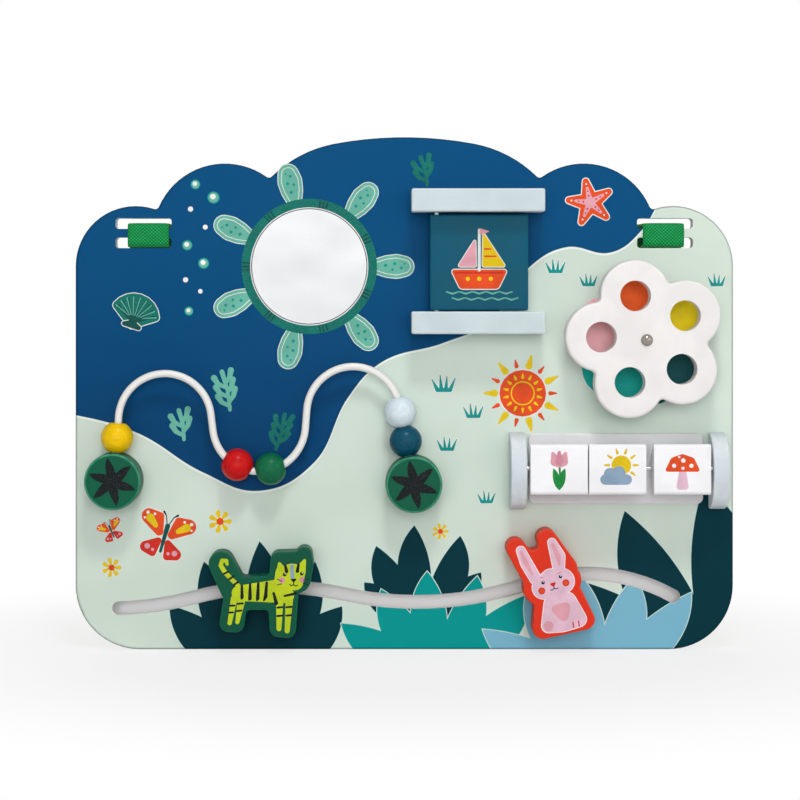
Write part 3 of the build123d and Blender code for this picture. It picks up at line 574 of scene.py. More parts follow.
class Print:
    """A printed picture. Its circles are x, y and radius in millimetres, from its own middle."""

    def __init__(self, name, plane=on_plane(BOARD_FRONT)):
        self.name = name
        self.plane = plane
        self.mesh = bmesh.new()
        self.inks = []
        self.count = 0
        self.move(0, 0)

    def move(self, x, y, turn=0.0, size=1.0):
        """Draw the next shapes round this point, turned and enlarged."""
        self.here = Matrix.Translation((x, y, 0)) @ Matrix.Rotation(radians(turn), 4, "Z")
        self.size = size

    def next_top(self, ink_name):
        """Height of the next shape's top. The shape's ink is noted."""
        if ink_name not in self.inks:
            self.inks.append(ink_name)
        self.count += 1
        return INK_START + (self.count - 1) * INK_STEP

    def wrap(self, ink_name, *circles):
        """One shape stretched round all the circles."""
        levels = (-INK_SINK, self.next_top(ink_name))
        ring_verts = []
        for x, y, radius in circles:
            for level in levels:
                place = self.here @ Matrix.Translation((x * self.size, y * self.size, level))
                ring_verts += bmesh.ops.create_circle(
                    self.mesh, segments=RING_POINTS, radius=radius * self.size, matrix=place)["verts"]
        edges = list({edge for vert in ring_verts for edge in vert.link_edges})
        bmesh.ops.delete(self.mesh, geom=edges, context="EDGES_FACES")
        hull = bmesh.ops.convex_hull(self.mesh, input=ring_verts)
        for item in hull["geom"]:
            if isinstance(item, bmesh.types.BMFace):
                item.material_index = self.inks.index(ink_name)
        spare = {v for v in ring_verts if v.is_valid and not v.link_faces}
        bmesh.ops.delete(self.mesh, geom=list(spare), context="VERTS")

    def ring(self, ink_name, inner, outer):
        """A flat ring round the point."""
        top = self.next_top(ink_name)
        corners = ((inner, -INK_SINK), (outer, -INK_SINK), (outer, top), (inner, top))
        before = set(self.mesh.faces)
        verts = [self.mesh.verts.new((radius, 0, level)) for radius, level in corners]
        edges = [self.mesh.edges.new(pair) for pair in zip(verts, verts[1:] + verts[:1])]
        bmesh.ops.spin(self.mesh, geom=[*verts, *edges], axis=(0, 0, 1), angle=2 * pi,
                       steps=RING_STEPS, use_merge=True)
        faces = [face for face in self.mesh.faces if face not in before]
        for face in faces:
            face.material_index = self.inks.index(ink_name)
        bmesh.ops.transform(self.mesh, matrix=self.here, verts=list({v for f in faces for v in f.verts}))

    def stroke(self, ink_name, *circles):
        """A brush stroke from circle to circle."""
        for first, second in zip(circles, circles[1:]):
            self.wrap(ink_name, first, second)

    def edged(self, ink_name, *circles, edge="pale", margin=0.5):
        """A shape with a thin line of another ink round it."""
        self.wrap(edge, *[(x, y, r + margin) for x, y, r in circles])
        self.wrap(ink_name, *circles)

    def dots(self, ink_name, *circles):
        """Round dots."""
        for circle in circles:
            self.wrap(ink_name, circle)

    def finish(self, body="board", slot="painted_board"):
        """Make the picture an object that rides on a body."""
        bmesh.ops.transform(self.mesh, matrix=self.plane, verts=self.mesh.verts)
        bmesh.ops.recalc_face_normals(self.mesh, faces=self.mesh.faces)
        piece = mesh_object(self.name, self.mesh, *[INKS[name] for name in self.inks])
        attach(piece, body)


def leaf(length, width, bend, steps, start, turn=0.0):
    """Circles along a pointed leaf that starts at the middle and grows in one direction."""
    circles = []
    for step in range(steps + 1):
        share = step / steps
        along, aside = length * share, bend * sin(pi * share / 2) ** 2
        swell = max(sin(pi * (start + (1 - start) * share)) ** 0.8, 0.02)
        c, s = polar(1, turn)
        circles.append((along * c - aside * s, along * s + aside * c, width / 2 * swell))
    return circles

# %% [markdown]
# ## Pictures on the board
# Round the mirror runs a green band with rounded petals, like an anemone. Bubbles, weeds, a
# shell and a starfish belong to the sea, and a sun, butterflies, daisies and tufts of grass to
# the shore. Each is a few circles, so it is plain and round, as pictures for babies are.

# %% Anemone round the mirror
MIRROR = middle("mirror")[::2]
MIRROR_EDGE = (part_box("mirror")[1].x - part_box("mirror")[0].x) / 2 / MM
BAND_OUTER = 41.2
PETAL_COUNT = 7
PETAL_STEP = 360 / PETAL_COUNT
PETAL = ((42, 4.6), (48, 6.5), (53, 7.1), (57.5, 6))      # distance from the mirror's middle, radius
PETAL_DOTS = ((46.4, 0.6, 1), (50.6, -1.9, 0.8), (52, 1.7, 1), (56, -0.9, 0.9), (58, 1.6, 0.6))
anemone = Print("anemone_print")
for petal in range(PETAL_COUNT):
    anemone.move(*MIRROR, petal * PETAL_STEP)
    for inset, margin in ((0, 0.5), (2.15, 0.45)):
        anemone.edged("sage", *[(x, 0, radius - inset) for x, radius in PETAL], margin=margin)
    anemone.dots("teal", *PETAL_DOTS)
anemone.move(*MIRROR)
anemone.ring("green", MIRROR_EDGE + 0.5, BAND_OUTER)
for petal in range(PETAL_COUNT):
    anemone.move(*MIRROR, (petal + 0.5) * PETAL_STEP)
    for bar in (-2, 0, 2):
        anemone.stroke("pine", (MIRROR_EDGE + 1.5, bar, 0.55), (BAND_OUTER - 0.9, bar * 1.15, 0.55))
anemone.move(*MIRROR)
anemone.ring("white", MIRROR_EDGE + 0.55, MIRROR_EDGE + 1.1)
anemone.finish()

# %% Sea pictures
BUBBLES = ((-127, 127, 3), (-116, 119, 3.8), (-130, 112, 1.6), (-121, 101, 1.5), (-132, 90, 3.2),
           (-122, 79, 3.4), (-133, 69, 1.6), (-124, 62, 1.4), (-131, 50, 2.8))
SMALL_BUBBLE = 1.8      # a bubble up to this radius is a plain white dot
sea_print = Print("bubble_print")
for x, z, radius in BUBBLES:
    if radius > SMALL_BUBBLE:
        sea_print.wrap("teal", (x, z, radius))
        sea_print.wrap("sage", (x, z, radius * 0.8))
        sea_print.wrap("white", (x - radius * 0.1, z + radius * 0.15, radius * 0.45))
    else:
        sea_print.wrap("white", (x, z, radius))
sea_print.finish()

shell = Print("shell_print")
shell.move(-163, 50, -18)
RIBS = [(x, z - 5, 2.6) for x, z in (polar(13, angle) for angle in range(22, 159, 17))]
shell.edged("green", *RIBS, (0, -9, 2.2))
shell.edged("pine", (-4.6, -9.4, 1.4), (4.6, -9.4, 1.4), (0, -7, 1.4))
for x, z, _ in RIBS:
    shell.stroke("pine", (x * 0.12, -6.8, 0.5), (x * 0.94, z * 0.92, 0.75))
    shell.stroke("sage", (x * 0.3, -3.8 + z * 0.12, 0.2), (x * 1.06, z * 1.02, 0.32))
shell.finish()

star = Print("starfish_print")
star.move(113, 116, 12)
ARMS = range(90, 450, 72)
for margin, colour in ((0.6, "pale"), (0, "orange")):
    for arm in ARMS:
        star.wrap(colour, (0, 0, 5.4 + margin), (*polar(13, arm), 1.9 + margin))
for arm in ARMS:
    star.wrap("pink", (0, 0, 2.2), (*polar(8.8, arm), 0.9))
    star.dots("red", (*polar(4.2, arm), 0.6), (*polar(7, arm), 0.5))
    star.dots("pale", (*polar(11.4, arm), 0.55))
star.finish()


PAIR_STEP = 4.6         # from one pair of leaves to the next


def weed(picture, x, z, turn, ink_name, pairs, size):
    """A stem with pairs of rounded leaves."""
    picture.move(x, z, turn, size)
    height = PAIR_STEP * pairs + 5
    picture.stroke(ink_name, (0, 0, 0.9), (0.8, height * 0.5, 0.9), (0, height, 1.2))
    for pair in range(pairs):
        foot = 2.5 + PAIR_STEP * pair
        for side in (-1, 1):
            picture.stroke(ink_name, (0.4, foot + side, 0.8), (side * 3.2, foot + 3 + side, 1.2),
                           (side * 4.4, foot + 6 + side, 1.5))


weeds = Print("weed_print")
weed(weeds, -134, -28, 10, "sage", 2, 1.25)
weed(weeds, -78, -34, -14, "green", 3, 1.15)
weed(weeds, -106, -10, 12, "sage", 3, 1.25)
weed(weeds, 14, 127, 14, "green", 2, 1.2)
weeds.finish()

# %% Shore pictures
SUN = (72, 0)
RAYS = 14
sun = Print("sun_print")
for ray in range(RAYS):
    sun.move(*SUN, ray * 360 / RAYS)
    if ray % 2:
        sun.wrap("yellow", (17, 0, 2.1), (23.5, 0, 0.5))
    else:
        sun.wrap("orange", (16.8, 0, 1.3), (20.6, 0, 0.4))
sun.move(*SUN)
sun.edged("orange", (0, 0, 14.2), margin=0.7)
for ray in range(RAYS):
    sun.move(*SUN, (ray + 0.5) * 360 / RAYS)
    sun.wrap("yellow", (9.6, 0, 0.9), (11.8, 0, 0.35))
sun.move(*SUN)
sun.wrap("yellow", (0, 0, 7.4))
sun.wrap("orange", (0, 0, 6.6))
sun.finish()


def butterfly(picture, x, z, turn, size):
    """Two pairs of wings on a dark body, with spots."""
    picture.move(x, z, turn, size)
    for side in (-1, 1):
        picture.edged("orange", (side * 4, 3, 2.6), (side * 12.5, 10.5, 4.6), (side * 6, 12, 2.6))
        picture.edged("red", (side * 3, -2.5, 2), (side * 9.5, -8, 3.4), (side * 4.5, -10.5, 2.2))
        picture.wrap("yellow", (side * 7, 6, 1.4), (side * 11.5, 9.6, 2.5))
        picture.dots("white", (side * 13.8, 12.4, 1), (side * 9.4, 12.6, 0.8), (side * 14.8, 8.8, 0.7))
        picture.dots("pink", (side * 8.6, -7.4, 1.7), (side * 4.9, -8.6, 1))
        picture.stroke("black", (side * 0.6, 8.5, 0.3), (side * 2.4, 13.5, 0.3), (side * 4.4, 15.4, 0.65))
    picture.wrap("pine", (0, 7.5, 1.5), (0, -8.5, 0.8))


insects = Print("butterfly_print")
butterfly(insects, -146, -88, -16, 1)
butterfly(insects, -178, -84, 24, 0.45)
insects.finish()


def daisy(picture, x, z, size, petals=7):
    """Yellow petals round a dotted middle."""
    for petal in range(petals):
        picture.move(x, z, petal * 360 / petals, size)
        picture.edged("yellow", (2.6, 0, 0.8), (5.6, 0, 1.5), margin=0.3)
    picture.move(x, z, 0, size)
    picture.wrap("orange", (0, 0, 2.2))
    picture.dots("red", (0.6, 0.5, 0.4), (-0.7, 0.2, 0.4), (0.1, -0.8, 0.4))


daisies = Print("daisy_print")
daisy(daisies, -112, -78, 1)
daisy(daisies, -178, -106, 0.85)
daisy(daisies, 22, -84, 0.7)
daisies.finish()

TUFTS = ((24, 2, 1.2), (42, -14, 1), (26, -34, 1), (92, 74, 1), (112, 66, 0.9), (190, 66, 0.9),
         (50, -66, 0.9))
BLADES = ((-3.2, -6, 5.4), (-1.2, -1.9, 7.6), (1.1, 1.6, 6.8), (3.2, 5.8, 6))   # foot, tip, height
tufts = Print("tuft_print")
for x, z, size in TUFTS:
    tufts.move(x, z, 0, size)
    for colour, margin in (("pale", 0.4), ("teal", 0)):
        tufts.wrap(colour, (-3, 0, 1 + margin), (3, 0, 1 + margin))
        for foot, tip, height in BLADES:
            tufts.wrap(colour, (foot, 0, 1.1 + margin), (tip, height + margin, 0.2 + margin / 2))
tufts.finish()

# %% [markdown]
# ## Petals under the flower
# Five round spots in five colours lie on the board under the flower spinner. Its windows pass
# over them as it turns, and at rest they peep out between its petals. Their inks are brighter
# than the board's other inks: painted light that makes up for the spinner's shade in its windows.

# %% Colour spots
FLOWER_X, _, FLOWER_Z = middle("flower_screw")
SPOTS = ((10, "spot yellow"), (82, "spot orange"), (154, "spot pink"), (224, "spot teal"),
         (294, "spot night"))
SPOTS_ASIDE, SPOTS_DOWN = -3.2, -1.6    # from the spinner's screw to the middle of the spots
SPOT_REACH, SPOT_R = 22.6, 17.4
WINDOW_TURN = 23.6      # degrees from the middle of a spot to the spinner's window over it
spots = Print("colour_spot_print")
spots.move(FLOWER_X + SPOTS_ASIDE, FLOWER_Z + SPOTS_DOWN)
for angle, colour in SPOTS:
    spots.wrap(colour, (*polar(SPOT_REACH, angle), SPOT_R))
spots.move(FLOWER_X, FLOWER_Z)
for angle, colour in SPOTS:
    window = angle + WINDOW_TURN
    spots.wrap(colour, (*polar(14, window), 5.5), (*polar(26.6, window), 12))
spots.finish()

# %% [markdown]
# ## Pictures on the toys
# The posts of the bead maze carry a star of dark leaves, the door a sailing boat, and the
# figures the face and coat of a cat and of a rabbit. The picture blocks have three sides, with
# a picture on each.


# %% Post rosettes
def rosette(name, node):
    """Six dark leaves that meet in the middle of a post's cap."""
    x, _, z = middle(node)
    picture = Print(name, on_plane(front_height(node)))
    for turn in range(90, 450, 60):
        picture.move(x, z, turn)
        picture.stroke("black", *leaf(14.4, 5.6, 2.6, 9, 0.25))
    picture.finish("board", "mint_paint")


for place in ("left", "right"):
    rosette("rosette_print_" + place, "wire_post_" + place)

# %% Door picture
DOOR_X, _, DOOR_Z = middle("door_panel")
boat = Print("boat_print", on_plane(front_height("door_panel")))
boat.move(DOOR_X, DOOR_Z, 0, 1.15)
boat.edged("orange", (-13, -5, 1.2), (13, -5, 1.2), (8.5, -11.5, 2.4), (-8.5, -11.5, 2.4))
boat.wrap("red", (-12.2, -5.4, 0.5), (12.2, -5.4, 0.5))
boat.dots("yellow", (-6, -8.6, 1.1), (0, -8.6, 1.1), (6, -8.6, 1.1))
boat.stroke("pale", (0, -4, 0.8), (0, 17, 0.7))
boat.edged("yellow", (2.4, -1.5, 0.8), (2.4, 14.5, 0.5), (12.5, -1.5, 0.8), margin=0.4)
boat.edged("pink", (-2.4, -1.5, 0.8), (-2.4, 11, 0.5), (-10, -1.5, 0.8), margin=0.4)
boat.stroke("orange", (3, 3.2, 0.5), (8.6, 3.2, 0.4))
boat.stroke("orange", (3, 7, 0.5), (6.2, 7, 0.35))
boat.wrap("pink", (0.6, 17.4, 0.4), (0.6, 14.9, 0.4), (4.8, 16.2, 0.3))
for row, shift in ((-16.4, 0), (-19.6, 3)):
    for wave in range(-2, 3):
        x = wave * 7 + shift
        boat.stroke("sage", (x - 3.2, row + 1, 0.35), (x, row, 0.45), (x + 3.2, row + 1, 0.35))
boat.finish("door", "door_paint")

hidden = Print("hidden_star_print")
hidden.move(DOOR_X, DOOR_Z + 2)
for arm in ARMS:
    hidden.wrap("yellow", (0, 0, 5), (*polar(13.5, arm), 1.6))
hidden.dots("orange", (-9, -14, 1.6), (10, -13, 1.2), (13, 12, 1.4), (-13, 10, 1.2))
hidden.finish()

# %% [markdown]
# The cat and the rabbit were cut from thick board. Their coats are printed a few millimetres
# smaller, so the paint leaves a border all round.

# %% Cat picture
CAT_TURN = -6
CAT_COAT = (
    ((8.6, 12, 3.4), (14.6, 14, 3.8), (19.4, 13.8, 3.8), (17.4, 7, 5), (8.4, 6.8, 3.4)),
    ((7, 17, 0.9), (8.8, 12.4, 3)),
    ((21.8, 20.4, 0.9), (19.9, 14, 3.2)),
    ((-15.1, -3.2, 4.6), (8.3, 1.2, 6.4), (13, -1.4, 4.8)),
    ((-17.8, -6.6, 2), (-19, -21.6, 1.3)),
    ((-13.4, -7.2, 2.4), (-14.4, -20.6, 1.2)),
    ((9.4, -4.2, 2.2), (10.8, -21.8, 1.5)),
    ((15.2, -4.2, 2.2), (15.8, -22.6, 1.5)),
)
CAT_TAIL = ((-16.2, 1.2, 1.3), (-20.8, 4.8, 1.35), (-25, 8.4, 1.4), (-27.9, 12.2, 1.3), (-27.4, 15.2, 1.2),
            (-24.8, 15.4, 1.1), (-24.2, 13.4, 0.9))
CAT_STRIPES = (
    ((-14, 1.4, 0.75), (-13.2, -5.4, 1.05), (-13.4, -6.4, 0.5)),
    ((-9.2, 2.8, 0.75), (-8.4, -5.6, 1.15), (-8.8, -6.6, 0.5)),
    ((-4.4, 4, 0.75), (-3.8, -5, 1.15), (-4.2, -6.4, 0.5)),
    ((0.6, 4.8, 0.75), (0.8, -3.6, 1.15), (0, -6, 0.5)),
    ((5.4, -1, 0.75), (7.6, -6.8, 1.15)),
    ((12, -2, 0.62), (18.6, 0.2, 0.85)),
)
BAND_R = 0.62
# bands on the tail and the legs, from x and y to x and y
CAT_BANDS = (
    (-25.6, 7.4, -22.8, 9), (-22.4, 4.2, -19.6, 6.6), (-18.8, 1.4, -16.4, 3.6),
    (-19.8, -11.2, -17.2, -10.8), (-20, -15.4, -17.6, -15), (-15.2, -9.6, -12.4, -9),
    (-15.4, -14, -12.8, -13.4), (8.6, -9.4, 11.6, -8.8), (9, -14.4, 12, -13.8),
    (14, -8.6, 17, -8), (14.4, -13.6, 17.4, -13),
)
BROW_STRIPES = (((10.6, 16.2, 0.75), (11.8, 12.8, 1.05)), ((18.4, 17.6, 0.75), (18.2, 13.6, 1.05)))


def figure_print(figure, turn):
    """A picture for a figure's front, drawn from its peg."""
    x, _, z = middle(figure + "_peg")
    picture = Print(figure + "_print", on_plane(front_height(figure + "_figure")))
    picture.move(x, z, turn)
    return picture


cat = figure_print("cat", CAT_TURN)
for part in CAT_COAT:
    cat.wrap("lime", *part)
cat.stroke("lime", *CAT_TAIL)
bands = [((x, z, BAND_R), (end_x, end_z, BAND_R)) for x, z, end_x, end_z in CAT_BANDS]
for stripe in (*CAT_STRIPES, *bands, *BROW_STRIPES):
    cat.stroke("black", *stripe)
cat.wrap("slate", (14.6, 16.4, 1), (15.6, 9.6, 1.2))
cat.dots("rose", (9.6, 7.2, 1.8), (21.4, 8.8, 1.6))
cat.dots("black", (10.8, 10.8, 1.1), (21, 12.4, 1.1))
cat.dots("white", (11.1, 11.2, 0.35), (21.3, 12.8, 0.35))
cat.wrap("black", (15.4, 8.2, 0.5), (17.6, 8.6, 0.5), (16.6, 7.2, 0.5))
cat.stroke("black", (16.6, 7.2, 0.3), (16.8, 5.2, 0.3))
for side in (-1, 1):
    cat.stroke("black", (16.8, 5.2, 0.3), (16.8 + side * 1.4, 4.6, 0.3), (16.8 + side * 2.4, 5.2, 0.3))
    cat.stroke("black", (16 + side * 6.4, 7.6 + side, 0.28), (16 + side * 9.4, 8.6 + side, 0.22))
    cat.stroke("black", (16 + side * 6.4, 6 + side, 0.28), (16 + side * 9, 5.2 + side, 0.22))
cat.finish("cat", "cat_paint")

# %% Rabbit picture
RABBIT_TURN = 15
RABBIT_COAT = (
    ((-14.1, 22.6, 2.5), (-12.9, 14.3, 3.3), (-10, 4.2, 3.3)),
    ((5.2, 22.5, 2.4), (7, 13.4, 3.6), (5, 5.8, 3.2)),
    ((-6.6, -2.4, 6.8), (5, -1.4, 7.4), (-1, 1, 6.4)),
    ((-3.6, -13.5, 5.5), (4.4, -14.2, 5.8), (-9.6, -25.2, 4.2), (8.8, -26, 4.6), (-1, -27.4, 3.6)),
)
rabbit = figure_print("rabbit", RABBIT_TURN)
for margin, colour in ((0.45, "white"), (0, "blush")):
    for part in RABBIT_COAT:
        rabbit.wrap(colour, *[(x, z, r + margin) for x, z, r in part])
rabbit.stroke("pink", (-14.1, 21.4, 1), (-13, 14.4, 1.7), (-11.2, 7.2, 0.6))
rabbit.stroke("pink", (5.2, 21.2, 1), (6.6, 13.8, 1.7), (6, 8.6, 0.6))
rabbit.wrap("pink", (-2.4, -17, 3), (3, -17.2, 3), (0.4, -21.6, 3.4))
rabbit.dots("pink", (-9.8, -25.4, 3))
rabbit.stroke("red", (4.6, -30, 0.4), (5, -27, 0.4))
rabbit.stroke("red", (8, -30.2, 0.4), (8.4, -27.2, 0.4))
rabbit.dots("black", (-6.2, 0.6, 1.05), (4.8, 1.4, 1.05))
rabbit.dots("white", (-5.9, 1, 0.35), (5.1, 1.8, 0.35))
rabbit.dots("red", (-8.2, -4, 2.1), (7, -3, 2.1))
rabbit.dots("orange", (-8.2, -4, 1.4), (7, -3, 1.4))
rabbit.wrap("red", (-1.7, -1.6, 0.65), (0.4, -1.5, 0.65), (-0.6, -2.8, 0.6))
rabbit.stroke("night", (-0.6, -3, 0.28), (-0.6, -4.4, 0.28))
for side in (-1, 1):
    rabbit.stroke("night", (-0.6, -4.4, 0.28), (-0.6 + side * 1.3, -5.2, 0.28),
                  (-0.6 + side * 2.3, -4.7, 0.28))
    rabbit.stroke("rose", (-0.7 + side * 4.4, 3.6, 0.32), (-0.7 + side * 6.4, 3.9, 0.32))
rabbit.finish("rabbit", "rabbit_paint")


# %% Pictures on the left block
def tulip(p):
    p.stroke("leaf", (0, -11, 0.6), (0.4, -2, 0.6), (0, 4, 0.6))
    for bow, turn in ((2, 62), (-2, 118)):
        p.stroke("leaf", *[(x, z - 10, r) for x, z, r in leaf(11, 4, bow, 7, 0.2, turn)])
    for side in (-1, 1):
        p.wrap("pink", (side * 3.6, 9.2, 0.9), (side * 2.6, 4.4, 2.4), (0, 3.6, 2.4))
    p.wrap("rose", (0, 9.8, 0.9), (0, 4.6, 2.2))


def heart(p):
    for side in (-1, 1):
        p.wrap("red", (side * 3.4, 3.4, 4), (0, -7.6, 0.8))
    p.wrap("pink", (-4, 4.4, 1.2), (-4.8, 2.6, 0.7))


def drop(p):
    p.wrap("sky", (0, -2.4, 5.6), (0, 8.6, 0.5))
    p.wrap("white", (-2.4, -3.4, 0.9), (-2.8, -1, 0.6))


# %% Pictures on the middle block
def sun_and_cloud(p):
    for ray in range(0, 360, 36):
        (x, z), (far_x, far_z) = polar(7.2, ray), polar(9.6, ray)
        p.wrap("yellow", (2 + x, 2.5 + z, 0.8), (2 + far_x, 2.5 + far_z, 0.4))
    p.wrap("yellow", (2, 2.5, 5.6))
    p.wrap("slate", (-7, -5.6, 3), (5, -5.6, 3))
    p.dots("slate", (-4.4, -2.6, 3.6), (0.6, -1.8, 3.8))


def apple(p):
    p.wrap("leaf", (1, 7.4, 0.4), (3.6, 9, 1.4), (6.2, 9.4, 0.4))
    p.stroke("pine", (0, 4.4, 0.5), (0.4, 8.6, 0.5))
    p.wrap("orange", (-3.4, 0.8, 4.8), (-2, -4.8, 3), (2, -4.8, 3), (3.4, 0.8, 4.8))
    p.wrap("yellow", (-5.4, 2, 0.9), (-5.8, -0.6, 0.7))


def waves(p):
    for row in range(3):
        for wave in (-1, 0, 1):
            x, z = wave * 7.2 + (row % 2) * 2.4 - 1.2, 5 - row * 5
            p.stroke("teal", (x - 3.2, z + 1.2, 0.6), (x, z, 0.8), (x + 3.2, z + 1.2, 0.6))


# %% Pictures on the right block
def mushroom(p):
    p.wrap("blush", (-1.6, -9.6, 1.8), (1.6, -9.6, 1.8), (0, -2, 2.2))
    p.wrap("orange", (-8.4, 0, 1.2), (8.4, 0, 1.2), (-4.6, 4.6, 2.6), (4.6, 4.6, 2.6), (0, 6.4, 2.4))
    p.dots("white", (-4.8, 2.2, 1.2), (0.4, 5.2, 1.3), (5, 2.2, 1.2), (0.2, 0.8, 0.9), (-1.9, 7.2, 0.7))


def moon(p):
    p.stroke("yellow", *[(*polar(7, 70 + step * 24), 2.6 * sin(pi * step / 10) + 0.3) for step in range(11)])
    p.dots("sky", (3, 2, 1), (6, -3, 0.8), (1.4, -1.6, 0.6))


def sprig(p):
    p.stroke("leaf", (0, -10, 0.6), (0.6, 0, 0.6), (0, 9, 0.6))
    for foot in range(-7, 9, 4):
        for side in (-1, 1):
            p.wrap("leaf", (0.3, foot, 0.4), (side * 4.2, foot + 3.4, 1.5), (side * 5.8, foot + 4.8, 0.5))

# %% [markdown]
# A block is a three-sided prism, so its pictures lie a third of a turn apart about the rod.

# %% Print the blocks
BLOCK_PICTURES = {
    "left": (tulip, heart, drop),
    "middle": (sun_and_cloud, apple, waves),
    "right": (mushroom, moon, sprig),
}
SIDE_TURN = 120         # degrees from one side of a block to the next
PICTURE_SIZE = 1.05
_, ROD_HEIGHT, ROD_Z = middle("block_rod")
axle = Matrix.Translation((0, -ROD_HEIGHT * MM, ROD_Z * MM))
for place, pictures in BLOCK_PICTURES.items():
    block_x = middle("picture_block_" + place)[0]
    front_plane = on_plane(front_height("picture_block_" + place))
    for side, draw in enumerate(pictures):
        turned = axle @ Matrix.Rotation(radians(SIDE_TURN * side), 4, "X") @ axle.inverted() @ front_plane
        picture = Print(f"block_print_{place}_{side + 1}", turned)
        picture.move(block_x, ROD_Z, 0, PICTURE_SIZE)
        draw(picture)
        picture.finish("block_" + place, "white_paint")

# %% [markdown]
# ## Straps
# The straps are woven webbing, green, with a painted highlight, a lighter spot, where its
# threads cross and catch the light. A strap is a long loop of the same flat section, so it is
# extruded ring by ring along its route. Each vertex remembers how far along and across the
# webbing it lies, which becomes the piece's UV map. The weave is then drawn in that map, in
# millimetres, and follows every bend.

# %% Webbing finish
webbing = Finish("cross weave webbing", roughness=0.62, specular_ior_level=0.12, sheen_weight=0.08)
uv = webbing.node("UVMap", uv_map="UVMap").outputs[0]
across, along, _ = webbing.node("SeparateXYZ", (uv,)).outputs
CROSS_ALONG = 1.9       # millimetres from one crossing of the threads to the next
CROSS_WIDE = 2.1
THREAD = 0.6            # width of one thread
lengthwise = webbing.maths("MULTIPLY", along, 2 * pi / CROSS_ALONG)
sideways = webbing.maths("MULTIPLY", across, 2 * pi / CROSS_WIDE)
rising = webbing.maths("SINE", webbing.maths("ADD", lengthwise, sideways))
falling = webbing.maths("SINE", webbing.maths("SUBTRACT", lengthwise, sideways))
threads = webbing.maths("SINE", webbing.maths("MULTIPLY", along, 2 * pi / THREAD))
weave = webbing.maths("MULTIPLY_ADD", threads, 0.2, webbing.maths("ADD", rising, falling))
# lighter colour on the weave's crests: painted highlight where the threads cross
green = webbing.mix(webbing.between(weave, -1.2, 2.1), srgb(0, 100, 42), srgb(30, 186, 104))
faded = webbing.between(webbing.noise(8.0), 0.35, 0.65, 0.0, 0.25)
webbing.colour(webbing.mix(faded, green, srgb(0, 110, 46)))
webbing.relief(webbing.between(weave, -2.0, 2.0), 0.2, 0.7)

# %% Strap route
STRAP_HALF, STRAP_HALF_T = 12.5, 0.68     # half the webbing's width and thickness
LOOP_CENTRE = Vector((21.0, 83.75))       # behind the back face, and up
INNER_ARC, OUTER_ARC = 15.75, 19.55       # radii of the loop's two layers
OVERLAP = 33.0                            # half the angle over which the ends overlap
EXIT_Y = -1.0                             # the loop's straight runs start inside the slots
FRONT_Y = -(BOARD_FRONT + 0.85)           # middle of the webbing in front of the wood
UPPER_Z, LOWER_Z = 102.9, 89.3            # over and under the bridge of wood
SMALL_BEND, EXIT_BEND = 3.3, 3.0          # radii of the bends, in front and in the slots
ROUTE_STEP = 0.9


def bend(before, corner, after, radius):
    """Points of the rounded corner between two straight runs."""
    into, out = (corner - before).normalized(), (after - corner).normalized()
    half_turn = acos(max(-1, min(1, into.dot(out)))) / 2
    reach = radius * sin(half_turn) / cos(half_turn)
    start, end = corner - into * reach, corner + out * reach
    centre = corner + (out - into).normalized() * (radius / cos(half_turn))
    first, last = start - centre, end - centre
    sweep = first.angle_signed(last)
    steps = max(2, round(abs(sweep) * radius / ROUTE_STEP))
    return [centre + Matrix.Rotation(-sweep * i / steps, 2) @ first for i in range(steps + 1)]


def loop_arc(radius, start, end):
    """Points on the loop's circle between two angles in degrees."""
    steps = round(abs(radians(end - start)) * radius / ROUTE_STEP)
    angles = [radians(start + (end - start) * i / steps) for i in range(steps + 1)]
    return [LOOP_CENTRE + radius * Vector((cos(a), sin(a))) for a in angles]


def touch_angle(exit_point, radius, side):
    """Angle on the loop where a straight run from the slot meets it."""
    away = exit_point - LOOP_CENTRE
    return degrees(atan2(away.y, away.x)) % 360 + side * degrees(acos(radius / away.length))


UPPER_EXIT, LOWER_EXIT = Vector((EXIT_Y, UPPER_Z)), Vector((EXIT_Y, LOWER_Z))
upper_touch = touch_angle(UPPER_EXIT, OUTER_ARC, -1)
lower_touch = touch_angle(LOWER_EXIT, INNER_ARC, 1)
outer = loop_arc(OUTER_ARC, -OVERLAP, upper_touch)
inner = loop_arc(INNER_ARC, lower_touch, 360 + OVERLAP)
corners = [outer[-1], UPPER_EXIT, Vector((FRONT_Y, UPPER_Z)), Vector((FRONT_Y, LOWER_Z)), LOWER_EXIT,
           inner[0]]
route = list(outer)
for index, radius in zip(range(1, 5), (EXIT_BEND, SMALL_BEND, SMALL_BEND, EXIT_BEND)):
    route += bend(corners[index - 1], corners[index], corners[index + 1], radius)
route += inner


def evened(points):
    """The same route with a point every step, and its length."""
    lengths = list(accumulate([0.0] + [(second - first).length for first, second in zip(points, points[1:])]))
    count = round(lengths[-1] / ROUTE_STEP)
    made = []
    place = 0
    for i in range(count + 1):
        target = lengths[-1] * i / count
        while place < len(points) - 2 and lengths[place + 1] < target:
            place += 1
        share = (target - lengths[place]) / max(lengths[place + 1] - lengths[place], 1e-9)
        made.append(points[place].lerp(points[place + 1], min(share, 1.0)))
    return made, lengths[-1]


route, strap_length = evened(route)
print("webbing", round(strap_length, 1), "mm long,", len(route), "rings")

# %% Woven straps
SECTION_POINTS = 13
SELVEDGE_LOSS = 0.45    # share of the thickness that is gone at the selvedges


def webbing_section():
    """Flat section with soft selvedges: across and thickness, once round."""
    shares = [2 * i / (SECTION_POINTS - 1) - 1 for i in range(SECTION_POINTS)]
    top = [(STRAP_HALF * x, STRAP_HALF_T * (1 - SELVEDGE_LOSS * abs(x) ** 8)) for x in shares]
    return top + [(x, -half_t) for x, half_t in reversed(top)]


